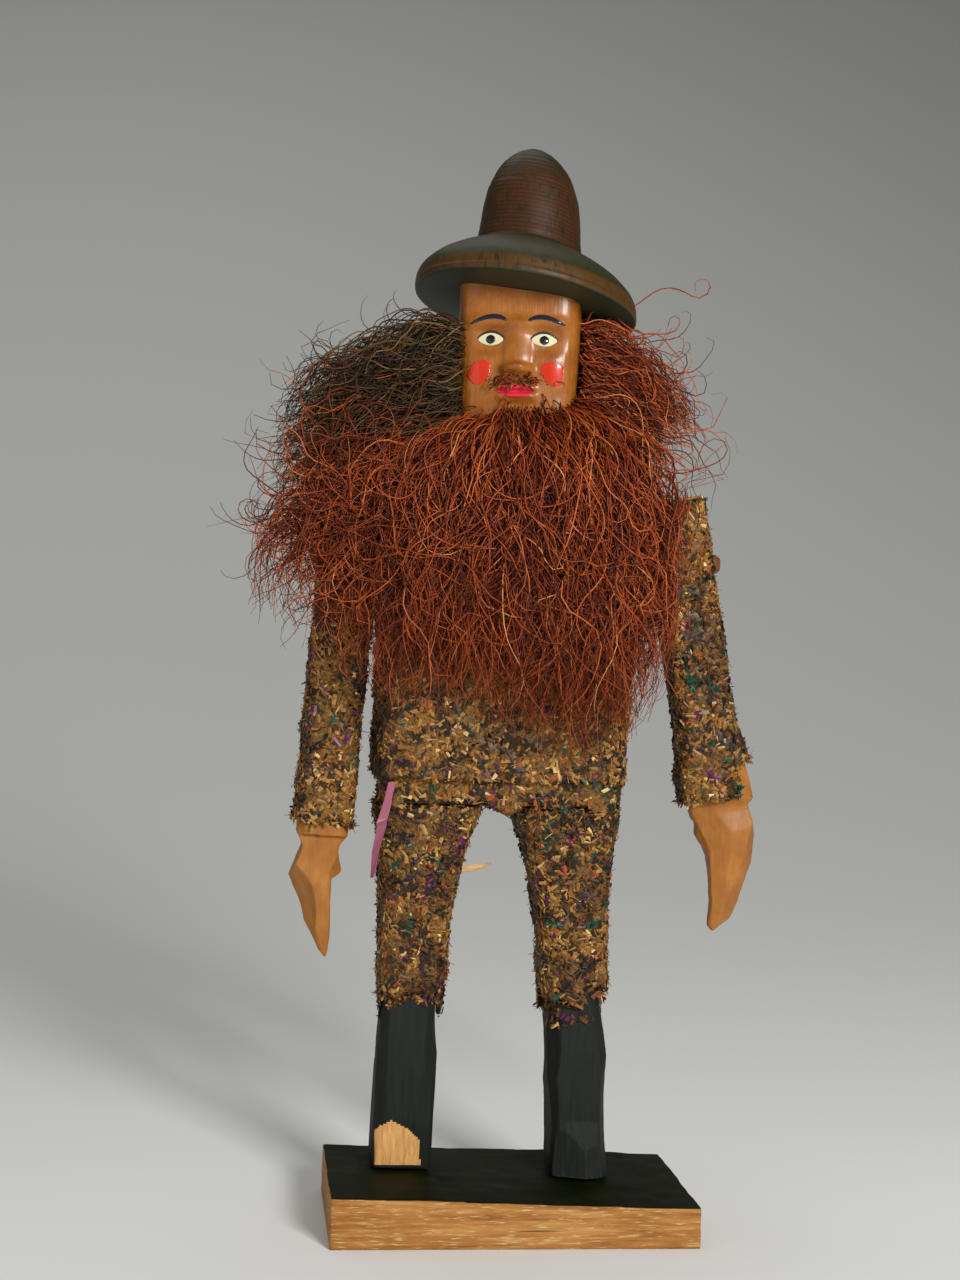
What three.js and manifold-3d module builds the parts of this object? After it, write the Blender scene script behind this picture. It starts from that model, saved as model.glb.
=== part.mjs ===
// A carved folk-art forest man: a turned hat, a whittled head with hair and a long
// beard of plant fibre, a body and limbs of whittled sticks coated with chopped straw,
// two arms that swing on shoulder pegs, and a small base board.
//
// Millimetres, +Z up. The origin is the middle of the board's underside. The figure
// faces -Y, so its own right side is -X and its own left side is +X.

import * as THREE from 'three';
import { mergeVertices } from 'three/addons/utils/BufferGeometryUtils.js';
import Module from 'manifold-3d';

const wasm = await Module();
wasm.setup();

// ---- Driving dimensions ------------------------------------------------------------

const GAP = 0.3;                     // air left between pieces that meet
const RIGHT = -1;                    // the figure's own right side lies at -X
const LEFT = 1;
const BEYOND = 5;                    // how far a cutting shape runs past the piece it cuts

const BOARD = { width: 50, depth: 28, highEnd: 6.8, lowEnd: 5.4, stepZ: 2.2, stepIn: 0.3 };

const AXIS = { x: -1.7, y: 3 };      // upright middle line of the figure

const LEG = {
  topZ: 59.2,
  bootTopZ: 31, shinWidth: 7.3,
  [RIGHT]: { footX: -14.5, hipX: -13.4, y: 3.6, width: 8.4, depth: 8.2 },
  [LEFT]: { footX: 10.2, hipX: 7.8, y: 2.6, width: 8.4, depth: 8.6 },
};
const STICK_CHAMFER = 1.1;           // whittled corners of legs and arms
const BOOT_RUN = 12;                 // length over which a boot slims to its shin
const TOE = { reach: 1.7, height: 7.5, width: 7.6, root: 3, shrink: 0.55, lift: 0.25 };
const BROKEN_TOE = { height: 6.6, depth: 0.7, cutterWidth: 14, cutterDepth: 4 };

const LEG_COAT = {
  [RIGHT]: { bottomZ: 31.5 }, [LEFT]: { bottomZ: 32.4 },
  topZ: 57.9, bottomWall: 0.7, topWidth: 15, topDepth: 14.2, shift: 0.9,
  corner: 0.28, swellPower: 2.4, deepenPower: 1.5, extraDepth: 0.6,
};

const TORSO = { bottomZ: 59.5, topZ: 102.6, width: 29, depth: 14.2, shift: -0.7 };
const TORSO_COAT = {
  hemZ: 61.8, topZ: 104.2, width: 30.4, hemWall: 2.1, shoulderWall: 2.7, hemShift: -1.3,
  corner: 0.16, roundFrom: 0.9, roundBy: 14,
};
const PELVIS = { bottomZ: 58.3, width: 33.4, depth: 16.2, corner: 3, shift: -1.1 };
const TORSO_CHAMFER = 2;

const DOWEL = { radius: 2, length: 15 };
const NECK_DOWEL = { radius: 2.6, bottomZ: 92, topZ: 120 };
const NAIL = { radius: 0.8, headRadius: 1.8, headHeight: 0.8, length: 19, point: 1.6 };

const HEAD = { x: -1.3, y: 1.6, bottomZ: 109.4, width: 17.2, depth: 15, height: 20.8, yaw: -12 };
const HEAD_CORNER = 3.4;             // radius of the head's rounded upright edges
const CHIN_NARROWING = 0.1;          // share of its width that the head loses at the chin
const NOSE = { width: 3.2, length: 7.4, tipZ: 117.6, sink: 0.4 };
const NOSE_SIDE = [[0, 0], [-3.2, 0.8], [-2.2, 1.6], [0, NOSE.length], [2, NOSE.length], [2, 0]];
const EYE_CUT = { radius: 1.5, length: 4.6, apart: 3.9, forward: 0.9, up: 5.8 };
const MOUTH_CUT = { width: 5, depth: 0.8, height: 0.5, below: 3 };

// The hat is turned: a flat underside, a thin rim, a domed brim and a tall tapered crown.
const HAT = {
  x: -1, y: 2.4, z: 128,
  brimRadius: 15.9, undersideRadius: 14.7, rimHeight: 0.9, crownFoot: 8, footRadius: 7.9,
  edgeRise: 2.7, slopeIn: 2.9, slopeZ: 5.6,
};
const CROWN = [                      // [radius, height above the foot of the crown]
  [7.55, 0], [6.95, 5.7], [6.5, 8.3], [5.65, 10.8], [4.95, 12], [3.9, 13.3], [2.8, 14.2], [1.4, 15],
];
const CROWN_HEIGHT = 15.4;
const HAT_LEAN = { back: -7, side: 9 };
const CROWN_SKEW = -0.105;           // sideways shift of the crown for each unit of height
const HAT_DOWEL = { radius: 2, bottomZ: 122, topZ: 138 };

// Each arm: the place of its shoulder, its lean in degrees, and lengths down from the
// shoulder to the end of its straw sleeve and to the cuff, where the bare hand begins.
const SHOULDER_Z = 93;
const ARM = {
  depth: 6.8, above: 9.2,
  [RIGHT]: { x: -24.8, lean: 3.6, width: 6.8, sleeve: 38, cuff: 39.9, cuffWidth: 7.1, shift: -0.1 },
  [LEFT]: { x: 22.9, lean: 10, width: 7, sleeve: 34, cuff: 34.4, cuffWidth: 9.2, shift: 0.6 },
};
const CUFF_RUN = 14;                 // length over which an arm widens to its cuff
const BARE_STRIP = { inner: 3.1, top: 29.2 };   // part of the left cuff that the coat misses

// Front outlines of the hands, [outwards, upwards] from the shoulder: down the outer side
// over the knuckle to the broken tip, then up the inner side past the thumb.
const HAND_OUTLINE = {
  [RIGHT]: [
    [3.4, -39.85], [2.7, -41.05], [2.5, -41.75], [3.2, -43.95], [4, -46.15], [4.05, -47.85],
    [3.1, -49.25],
    [0.15, -53.75], [-1.2, -56.05], [-2.2, -57.05], [-2.5, -56.45], [-2.6, -54.15], [-2.3, -50.05],
    [-2, -45.95], [-3.15, -45.25], [-3.35, -44.75], [-3, -43.65], [-2.6, -41.95], [-2.8, -41.05],
    [-3.6, -39.85],
  ],
  [LEFT]: [
    [5.2, -34.3], [4.3, -35.2], [4.2, -35.8], [4.6, -38.4], [5.3, -40.7], [5.35, -41.3], [3.5, -45],
    [1.85, -48.6], [1.2, -50.7], [0.75, -51.8], [0, -51.7], [-2, -52.2], [-3, -52.8], [-3.5, -51.9],
    [-2.7, -48.7], [-2.4, -45.3], [-2.15, -42.2], [-2.5, -40.8], [-3.4, -38.9], [-3.1, -37.2],
    [-3.6, -36.5], [-4, -34.3],
  ],
};
// Half-depths of a hand, [half-depth, distance below the cuff].
const HAND_FRONT = [[3.35, 0], [2.75, 1], [2.75, 1.7], [3.25, 4.5], [3.1, 9], [1.5, 18.5]];
const HAND_BACK = [[3.35, 0], [2.75, 1], [2.75, 1.7], [3.2, 5], [2.7, 9], [1.2, 18.5]];
// The last knife strokes on each hand. A stroke is a plane through three points, each
// [outwards, towards the back, upwards] from the shoulder.
const HAND_STROKES = {
  [RIGHT]: [
    [[3.6, -2.5, -43.25], [-3, -2.9, -43.25], [1.1, -2.9, -48.75]],
    [[4.05, -0.9, -47.85], [1.1, -2.9, -48.75], [-1.9, -1, -56.75]],
    [[-2.4, -1.5, -49.75], [1.1, -2.9, -48.75], [-1.9, -1, -56.75]],
    [[4.2, 0.6, -47.25], [0.5, 2.9, -44.75], [-1.9, 0.9, -56.75]],
    [[-2.8, 1.4, -48.75], [0.5, 2.9, -44.75], [-1.9, 0.9, -56.75]],
  ],
  [LEFT]: [
    [[-2.7, -1.6, -41], [1, -3.15, -41], [-2.3, -1.5, -47]],
    [[4, -2.8, -40.4], [1, -3.15, -41], [-1.4, -1.5, -50.7]],
    [[5.3, -1.1, -41.2], [4, -2.8, -40.4], [-1.4, -1.5, -50.7]],
    [[5.4, 0.8, -41], [1.5, 3, -38], [-1.5, 1, -52]],
    [[-2.8, 1.2, -42], [1.5, 3, -38], [-1.5, 1, -52]],
  ],
};
const HAND_BLANK = { width: 16, depth: 12, chamfer: 1.7, bottomZ: -60, overlap: 0.1 };
const SLEEVE = { wall: 0.6, spreadDeep: 0.06, belowTop: 0.4, corner: 2 };
const PEG = { radius: 1.4, inTorso: 8, proud: 1.3, domeRadius: 1, domeRim: 0.8, domeTop: 0.2 };

// ---- Hair and beard: lumps of fibre, each an ellipsoid kept inside a box -----------

const SWING_CLEAR_Z = 105.2;         // above the ends of the arms at any swing
const BEARD_EDGE = 18.4;             // half-width of the beard between the two arms
const LUMP = {
  hairRight: { middle: [-23, 3.5, 113.5], radii: [14, 10.5, 10.5] },
  hairLeft: { middle: [12, 3.5, 111], radii: [13, 9.5, 12.5] },
  hairBack: { middle: [-1.7, 10.5, 112], radii: [14, 6.5, 14] },
  beard: { middle: [-1.7, -9.5, 92], radii: [23, 8.5, 27] },
  chin: { middle: [-1.7, -5, 108], radii: [13, 7, 6] },
  [RIGHT]: { middle: [-26, -5.3, 90], radii: [12.5, 3, 11] },
  [LEFT]: { middle: [17.5, -5.3, 88], radii: [5, 3, 14] },
};
const ROOM = {                       // [low x, high x, low y, high y, low z, high z]
  hairRight: [-37, -10.6, -7.1, 14, SWING_CLEAR_Z, 123.5],
  hairLeft: [8.3, 25, -7, 13, SWING_CLEAR_Z, 125.5],
  hairBack: [-10.3, 8, 11.2, 17, 98, 125.5],
  beard: [AXIS.x - BEARD_EDGE, AXIS.x + BEARD_EDGE, -17.5, -7.5, 64, 109],
  chin: [AXIS.x - 8.5, AXIS.x + 8.5, -14, 6, 104.6, 112.5],
  [RIGHT]: [-38.5, AXIS.x - BEARD_EDGE - GAP, -9, -2.6, 78, 101],
  [LEFT]: [AXIS.x + BEARD_EDGE + GAP, 21.5, -9, -2.6, 73, 101],
};
const MOUSTACHE = { radii: [3.2, 0.5, 0.7], below: 1.1, proud: 0.9 };

// ---- Loose bits of the coat: a flat dyed straw and a splinter ------------------------

const DYED_STRAW = { thick: 0.35, wide: 1.5, chamfer: 0.05 };
const DYED_STRAW_PATH = [
  [-18.2, -5.8, 61.1], [-18.7, -5.3, 58.5], [-19.4, -4.5, 55.5], [-19.5, -3.9, 51.6],
  [-19.9, -3.4, 47.5],
];
const SPLINTER = { radius: 0.55, length: 3.2, rise: 0.3, middle: [-5.2, -1.5, 49.4] };

// ---- Small helpers -----------------------------------------------------------------

const radians = THREE.MathUtils.degToRad;

function toSolid(geometry) {
  const bare = geometry.clone();
  bare.deleteAttribute('normal');
  bare.deleteAttribute('uv');
  const merged = mergeVertices(bare, 1e-4);
  return new wasm.Manifold(new wasm.Mesh({
    numProp: 3,
    vertProperties: new Float32Array(merged.attributes.position.array),
    triVerts: new Uint32Array(merged.index.array),
  }));
}

function toGeometry(solid) {
  const mesh = solid.getMesh();
  const geometry = new THREE.BufferGeometry();
  const places = new Float32Array(mesh.vertProperties);
  geometry.setAttribute('position', new THREE.BufferAttribute(places, 3));
  geometry.setIndex(new THREE.BufferAttribute(new Uint32Array(mesh.triVerts), 1));
  return geometry;
}

// One geometry from a first one, less every one of the others.
function cut(geometry, ...tools) {
  let solid = toSolid(geometry);
  for (const tool of tools) solid = solid.subtract(toSolid(tool));
  return toGeometry(solid);
}

function join(...geometries) {
  let solid = toSolid(geometries[0]);
  for (const other of geometries.slice(1)) solid = solid.add(toSolid(other));
  return toGeometry(solid);
}

function overlapOf(first, second) {
  return toGeometry(toSolid(first).intersect(toSolid(second)));
}

// One stroke of a knife: takes off whatever lies beyond the plane through three points,
// on the side away from the upright middle line of the piece.
function shave(geometry, stroke) {
  const plane = new THREE.Plane().setFromCoplanarPoints(...stroke.map((p) => new THREE.Vector3(...p)));
  const keep = plane.distanceToPoint(new THREE.Vector3(0, 0, stroke[1][2]));
  if (keep < 0) plane.negate();
  const { x, y, z } = plane.normal;
  return toGeometry(toSolid(geometry).trimByPlane([x, y, z], -plane.constant));
}

// Moves every vertex of a geometry by a rule, which tapers, leans or bends it.
function reshape(geometry, rule) {
  const places = geometry.attributes.position;
  const point = new THREE.Vector3();
  for (let i = 0; i < places.count; i += 1) {
    point.fromBufferAttribute(places, i);
    rule(point);
    places.setXYZ(i, point.x, point.y, point.z);
  }
  return geometry;
}

function box(width, depth, bottomZ, topZ, x = 0, y = 0) {
  const height = topZ - bottomZ;
  return new THREE.BoxGeometry(width, depth, height).translate(x, y, bottomZ + height / 2);
}

// An upright cylinder with flat ends.
function rod(radius, bottomZ, topZ, x = 0, y = 0, sides = 16) {
  return new THREE.CylinderGeometry(radius, radius, topZ - bottomZ, sides)
    .rotateX(Math.PI / 2)
    .translate(x, y, (bottomZ + topZ) / 2);
}

// A rectangle about the origin with its corners cut off by the chamfer.
function chamferedShape(width, depth, chamfer) {
  const [w, d] = [width / 2, depth / 2];
  return new THREE.Shape([
    new THREE.Vector2(-w + chamfer, -d), new THREE.Vector2(w - chamfer, -d),
    new THREE.Vector2(w, -d + chamfer), new THREE.Vector2(w, d - chamfer),
    new THREE.Vector2(w - chamfer, d), new THREE.Vector2(-w + chamfer, d),
    new THREE.Vector2(-w, d - chamfer), new THREE.Vector2(-w, -d + chamfer),
  ]);
}

// A rectangle about the origin with rounded corners.
function roundedShape(width, depth, radius) {
  const [w, d] = [width / 2, depth / 2];
  const shape = new THREE.Shape();
  shape.moveTo(-w + radius, -d);
  shape.lineTo(w - radius, -d);
  shape.absarc(w - radius, -d + radius, radius, -Math.PI / 2, 0);
  shape.absarc(w - radius, d - radius, radius, 0, Math.PI / 2);
  shape.absarc(-w + radius, d - radius, radius, Math.PI / 2, Math.PI);
  shape.absarc(-w + radius, -d + radius, radius, Math.PI, Math.PI * 1.5);
  return shape;
}

// The shape pushed upwards from bottomZ to topZ in equal steps.
function prism(shape, bottomZ, topZ, steps = 1, curveSegments = 3) {
  const settings = { depth: topZ - bottomZ, steps, curveSegments, bevelEnabled: false };
  return new THREE.ExtrudeGeometry(shape, settings).translate(0, 0, bottomZ);
}

// An outline in X and Z, pushed along Y to both sides of the plane y = 0.
function plate(points, thickness) {
  const shape = new THREE.Shape(points.map(([x, z]) => new THREE.Vector2(x, z)));
  return new THREE.ExtrudeGeometry(shape, { depth: thickness, bevelEnabled: false })
    .translate(0, 0, -thickness / 2)
    .rotateX(Math.PI / 2);
}

const figurine = new THREE.Group();

function add(name, geometry, colour, roughness, metalness = 0) {
  const material = new THREE.MeshStandardMaterial({ color: colour, roughness, metalness });
  const mesh = new THREE.Mesh(geometry, material);
  mesh.name = name;
  figurine.add(mesh);
  return mesh;
}

const COLOUR = {
  bareWood: 0xb08048, paintedGreen: 0x1c2606, bootPaint: 0x24282c, straw: 0x8a6a3a,
  skinPaint: 0xb8702e, skinVarnish: 0xc87830, hatStain: 0x54301a, beard: 0x6e341c,
  darkHair: 0x46382a, steel: 0x8a8a88, purpleStraw: 0x8c5a72, peg: 0x7a4c2a,
};

// ---- Base board --------------------------------------------------------------------

// Height of the board's top at a place along it: it was sawn a little out of true.
function boardTop(x) {
  const half = BOARD.width / 2;
  return THREE.MathUtils.mapLinear(x, -half, half, BOARD.highEnd, BOARD.lowEnd);
}

function nailPlace(side) {
  return { x: LEG[side].footX, y: LEG[side].y };
}

function baseBoard() {
  const half = BOARD.width / 2;
  const outline = [[-half, 0], [half, 0], [half, BOARD.lowEnd], [-half, BOARD.highEnd]];
  const stepY = BOARD.stepIn - (BOARD.depth + BEYOND) / 2;
  const sawStep = box(BOARD.width + BEYOND, BEYOND, BOARD.stepZ, BOARD.highEnd + BEYOND, 0, stepY);
  const holes = [RIGHT, LEFT].flatMap((side) => {
    const { x, y } = nailPlace(side);
    const shaft = rod(NAIL.radius + GAP, -BEYOND, BOARD.highEnd + BEYOND, x, y, 12);
    const head = rod(NAIL.headRadius + GAP, -BEYOND, GAP * 2 + NAIL.headHeight, x, y);
    return [shaft, head];
  });
  return cut(plate(outline, BOARD.depth), sawStep, ...holes);
}

// A wire nail driven up through the board into a foot, its head just below the surface.
function footNail(side) {
  const { radius, headRadius, headHeight, length } = NAIL;
  const profile = [[0, 0], [headRadius, 0], [headRadius, headHeight], [radius, headHeight],
    [radius, length - NAIL.point], [0, length]];
  const { x, y } = nailPlace(side);
  return new THREE.LatheGeometry(profile.map(([r, z]) => new THREE.Vector2(r, z)), 12)
    .rotateX(Math.PI / 2)
    .translate(x, y, GAP);
}

// ---- Legs --------------------------------------------------------------------------

// Middle of a leg at a height, since each leg leans inwards to the hip.
function legX(side, z) {
  const { footX, hipX } = LEG[side];
  return THREE.MathUtils.mapLinear(z, boardTop(footX), LEG.topZ, footX, hipX);
}

// A whittled stick with chamfered corners, its foot end seated on the sloping board and
// its shin cut slimmer than the boot.
function legStick(side, grow = 0) {
  const { width, depth, y } = LEG[side];
  const shape = chamferedShape(width + 2 * grow, depth + 2 * grow, STICK_CHAMFER);
  return reshape(prism(shape, 0, 1, 12), (p) => {
    const top = LEG.topZ + (grow > 0 ? 2 : 0);
    const slim = THREE.MathUtils.smoothstep(p.z * top, LEG.bootTopZ - BOOT_RUN, LEG.bootTopZ);
    const narrow = THREE.MathUtils.lerp(1, (LEG.shinWidth + 2 * grow) / (width + 2 * grow), slim);
    const x = p.x * narrow + legX(side, p.z * LEG.topZ);
    const foot = boardTop(x) + GAP;
    p.set(x, p.y * narrow + y, foot + p.z * (top - foot));
  });
}

function hipDowelPlace(side) {
  return { x: legX(side, LEG.topZ), y: AXIS.y };
}

function leg(side) {
  const { footX, y, depth } = LEG[side];
  const front = y - depth / 2;
  const top = boardTop(footX) + GAP;
  let stick = legStick(side);
  if (side === LEFT) {
    const shape = roundedShape(TOE.width, 2 * TOE.root, 2);
    const toe = reshape(prism(shape, 0, TOE.height, 2), (p) => {
      const shrink = 1 - TOE.shrink * (p.z / TOE.height) ** 2;
      const z = Math.max(top + TOE.lift + p.z, boardTop(footX + p.x) + GAP);
      const y = front + TOE.root - TOE.reach + p.y * shrink;
      p.set(footX + p.x * THREE.MathUtils.lerp(1, shrink, 0.25), y, z);
    });
    stick = join(stick, toe);
  } else {
    const { height, cutterWidth, cutterDepth } = BROKEN_TOE;
    const wedge = new THREE.BoxGeometry(cutterWidth, cutterDepth, height * 2)
      .rotateX(Math.atan2(BROKEN_TOE.depth, height))
      .translate(footX, front - cutterDepth / 2 + BROKEN_TOE.depth, top);
    stick = cut(stick, wedge);
  }
  const hip = hipDowelPlace(side);
  const nail = nailPlace(side);
  return cut(
    stick,
    rod(DOWEL.radius + GAP, LEG.topZ - DOWEL.length / 2 - GAP, LEG.topZ + 1, hip.x, hip.y),
    rod(NAIL.radius + GAP, 0, NAIL.length + 2 * GAP, nail.x, nail.y, 12),
  );
}

// The straw coat on a leg: a thin sleeve at the shin that swells inwards to the hip.
function legCoat(side) {
  const { y } = LEG[side];
  const { bottomZ } = LEG_COAT[side];
  const { topZ, bottomWall, topWidth, topDepth, shift, corner } = LEG_COAT;
  const slim = LEG.shinWidth + 2 * (bottomWall + GAP);
  const outer = reshape(prism(roundedShape(1, 1, corner), 0, 1, 6), (p) => {
    const swell = p.z ** LEG_COAT.swellPower;
    const z = THREE.MathUtils.lerp(bottomZ, topZ, p.z);
    const across = THREE.MathUtils.lerp(slim, topWidth, swell);
    const deepen = p.z ** LEG_COAT.deepenPower;
    const deep = THREE.MathUtils.lerp(slim + LEG_COAT.extraDepth, topDepth, deepen);
    const x = legX(side, z) - side * shift * swell + p.x * across;
    p.set(x, THREE.MathUtils.lerp(y, AXIS.y, p.z) + p.y * deep, z);
  });
  return cut(outer, legStick(side, GAP));
}

function hipDowel(side) {
  const { x, y } = hipDowelPlace(side);
  const half = DOWEL.length / 2;
  return rod(DOWEL.radius, LEG.topZ - half, LEG.topZ + half, x, y);
}

// ---- Torso -------------------------------------------------------------------------

function torsoBlock() {
  const { bottomZ, topZ, width, depth, shift } = TORSO;
  const block = prism(chamferedShape(width, depth, TORSO_CHAMFER), bottomZ, topZ)
    .translate(AXIS.x + shift, AXIS.y, 0);
  const dowels = [RIGHT, LEFT].map((side) => {
    const { x, y } = hipDowelPlace(side);
    return rod(DOWEL.radius + GAP, bottomZ - 1, LEG.topZ + DOWEL.length / 2 + GAP, x, y);
  });
  const neck = rod(NECK_DOWEL.radius + GAP, NECK_DOWEL.bottomZ - GAP, topZ + 1, HEAD.x, AXIS.y);
  return cut(block, ...dowels, neck, pegHole(RIGHT), pegHole(LEFT));
}

// The straw coat on the body: open below, closed over the shoulders, with a hem that
// hangs out over the narrower seat.
function torsoCoat() {
  const { hemZ, topZ, width, hemWall, shoulderWall, hemShift, corner } = TORSO_COAT;
  const { depth } = TORSO;
  const main = reshape(prism(roundedShape(1, 1, corner), hemZ, topZ, 6), (p) => {
    const up = (p.z - hemZ) / (topZ - hemZ);
    const drawnIn = TORSO_COAT.roundBy * Math.max(0, up - TORSO_COAT.roundFrom);
    const wall = THREE.MathUtils.lerp(hemWall, shoulderWall, up) - drawnIn;
    p.x = AXIS.x + hemShift * (1 - up) + p.x * (width + 2 * wall);
    p.y = AXIS.y + p.y * (depth + 2 * wall);
  });
  const seatShape = roundedShape(PELVIS.width, PELVIS.depth, PELVIS.corner);
  const seat = prism(seatShape, PELVIS.bottomZ, hemZ + 2)
    .translate(AXIS.x + PELVIS.shift, AXIS.y, 0);
  const inside = chamferedShape(TORSO.width + 2 * GAP, depth + 2 * GAP, TORSO_CHAMFER);
  const cavity = prism(inside, PELVIS.bottomZ - BEYOND, TORSO.topZ + GAP)
    .translate(AXIS.x + TORSO.shift, AXIS.y, 0);
  const neck = rod(NECK_DOWEL.radius + 1, TORSO.topZ - 1, topZ + BEYOND, HEAD.x, AXIS.y);
  return cut(join(main, seat), cavity, neck, pegHole(RIGHT), pegHole(LEFT));
}

// ---- Head and hat ------------------------------------------------------------------

function turnedWithHead(geometry) {
  return geometry
    .translate(-HEAD.x, -AXIS.y, 0)
    .rotateZ(radians(HEAD.yaw))
    .translate(HEAD.x, AXIS.y, 0);
}

// The whittled head block with its rounded edges, narrowed a little towards the chin.
function headBlank(grow = 0) {
  const { x, y, bottomZ, width, depth, height } = HEAD;
  const shape = roundedShape(width + 2 * grow, depth + 2 * grow, HEAD_CORNER);
  const blank = reshape(prism(shape, bottomZ - grow, bottomZ + height + grow, 4, 4), (p) => {
    const up = (p.z - bottomZ) / height;
    const narrow = 1 - CHIN_NARROWING * (1 - up) ** 2;
    p.set(x + p.x * narrow, y + p.y * narrow, p.z);
  });
  return turnedWithHead(blank);
}

// The head with its carved nose, two cuts for the eyes and a top trimmed to the hat.
function headBlock() {
  const { x, y, depth } = HEAD;
  const { tipZ } = NOSE;
  const front = y - depth / 2;
  const nose = plate(NOSE_SIDE, NOSE.width).rotateZ(Math.PI / 2);
  const placedNose = turnedWithHead(nose.translate(x, front + NOSE.sink, tipZ));
  const eyes = [-1, 1].map((side) => turnedWithHead(
    new THREE.CylinderGeometry(EYE_CUT.radius, EYE_CUT.radius, EYE_CUT.length, 12)
      .rotateZ(Math.PI / 2)
      .translate(x + side * EYE_CUT.apart, front - EYE_CUT.forward, tipZ + EYE_CUT.up),
  ));
  const mouthZ = tipZ - MOUTH_CUT.below;
  const mouthCut = box(MOUTH_CUT.width, MOUTH_CUT.depth, mouthZ, mouthZ + MOUTH_CUT.height, x, front);
  const mouth = turnedWithHead(mouthCut);
  return cut(
    join(headBlank(), placedNose),
    ...eyes,
    mouth,
    hatBlank(GAP),
    rod(NECK_DOWEL.radius + GAP, HEAD.bottomZ - BEYOND, NECK_DOWEL.topZ + GAP, HEAD.x, AXIS.y),
    rod(HAT_DOWEL.radius + GAP, HAT_DOWEL.bottomZ - GAP, HAT_DOWEL.topZ, HEAD.x, AXIS.y),
  );
}

function leaned(geometry) {
  return geometry
    .rotateX(radians(HAT_LEAN.back))
    .rotateY(radians(HAT_LEAN.side))
    .translate(HAT.x, HAT.y, HAT.z);
}

// Outer half-profile of the turned hat, from the middle of its underside to its top.
function hatProfile(grow = 0) {
  const { brimRadius, undersideRadius, rimHeight, crownFoot, footRadius, edgeRise } = HAT;
  const rim = brimRadius + grow;
  const path = new THREE.Path();
  path.moveTo(0, -grow);
  path.lineTo(undersideRadius, -grow);
  path.quadraticCurveTo(rim, -grow, rim, rimHeight);
  const [bendX, bendZ] = [rim - HAT.slopeIn, HAT.slopeZ + grow];
  path.bezierCurveTo(rim, rimHeight + edgeRise, bendX, bendZ, footRadius + grow, crownFoot);
  for (const [radius, height] of CROWN) path.lineTo(radius + grow, crownFoot + height);
  path.lineTo(0, crownFoot + CROWN_HEIGHT + grow);
  return path.getPoints(5);
}

// The turned hat, whose crown does not stand quite square on its brim.
function hatBlank(grow = 0) {
  const turned = new THREE.LatheGeometry(hatProfile(grow), 36).rotateX(Math.PI / 2);
  return leaned(reshape(turned, (p) => {
    p.x += CROWN_SKEW * Math.max(p.z, 0);
  }));
}

// The hat sits on the trimmed top of the head and is held by a dowel.
function hat() {
  const hole = rod(HAT_DOWEL.radius + GAP, HAT.z - BEYOND, HAT_DOWEL.topZ + GAP, HEAD.x, AXIS.y);
  return cut(hatBlank(), hole);
}

function hatDowel() {
  return rod(HAT_DOWEL.radius, HAT_DOWEL.bottomZ, HAT_DOWEL.topZ, HEAD.x, AXIS.y);
}

function neckDowel() {
  return rod(NECK_DOWEL.radius, NECK_DOWEL.bottomZ, NECK_DOWEL.topZ, HEAD.x, AXIS.y);
}

// ---- Arms --------------------------------------------------------------------------

function peggedAt(side, geometry) {
  const { x, lean } = ARM[side];
  return geometry.rotateY(radians(-side * lean)).translate(x, AXIS.y, SHOULDER_Z);
}

function pegHole(side) {
  return pegRod(side, PEG.radius + GAP, GAP, BEYOND);
}

// Where a shoulder peg ends outside the arm.
function pegEnd(side) {
  return ARM[side].x + side * (ARM[side].width / 2 + SLEEVE.wall + GAP + PEG.proud);
}

// The line of a shoulder peg, from inside the torso to outside the arm.
function pegRod(side, radius, deeper, further) {
  const inner = AXIS.x + side * (TORSO.width / 2 - PEG.inTorso - deeper);
  const outer = pegEnd(side) + side * further;
  return new THREE.CylinderGeometry(radius, radius, Math.abs(outer - inner), 16)
    .rotateZ(Math.PI / 2)
    .translate((inner + outer) / 2, AXIS.y, SHOULDER_Z);
}

// Widens an arm towards its cuff, where the stick was left thicker.
function widenedToCuff(side, geometry) {
  const { width, cuff, cuffWidth, shift } = ARM[side];
  return reshape(geometry, (p) => {
    const towardsCuff = THREE.MathUtils.smoothstep(-p.z, cuff - CUFF_RUN, cuff);
    p.x = p.x * THREE.MathUtils.lerp(1, cuffWidth / width, towardsCuff) + side * shift * towardsCuff;
  });
}

function armStick(side, grow = 0) {
  const { width, cuff } = ARM[side];
  const beyond = grow > 0 ? BEYOND : 0;
  const shape = chamferedShape(width + 2 * grow, ARM.depth + 2 * grow, STICK_CHAMFER);
  return widenedToCuff(side, prism(shape, -cuff - beyond, ARM.above + beyond, 14));
}

// A mitten hand: its front outline and its depth, then the knife strokes that shape it.
function hand(side) {
  const { cuff, cuffWidth, shift } = ARM[side];
  const { width, depth, chamfer, bottomZ, overlap } = HAND_BLANK;
  const outline = HAND_OUTLINE[side].map(([out, z]) => [side * out, Math.min(z, -cuff + overlap)]);
  const front = plate(outline, depth);
  const profile = [
    ...HAND_FRONT.map(([deep, down]) => [-deep, overlap - cuff - down]),
    ...HAND_BACK.map(([deep, down]) => [deep, overlap - cuff - down]).reverse(),
  ];
  const flank = plate(profile, width).rotateZ(Math.PI / 2);
  const edges = prism(chamferedShape(cuffWidth + 2, ARM.depth, chamfer), bottomZ, overlap - cuff)
    .translate(side * shift, 0, 0);
  let shaped = overlapOf(overlapOf(front, flank), edges);
  for (const stroke of HAND_STROKES[side]) {
    shaped = shave(shaped, stroke.map(([out, y, z]) => [side * out, y, z]));
  }
  return shaped;
}

// Arm and hand, whittled from one stick that hangs down from its shoulder hole.
function arm(side) {
  return cut(peggedAt(side, join(armStick(side), hand(side))), pegHole(side));
}

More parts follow.
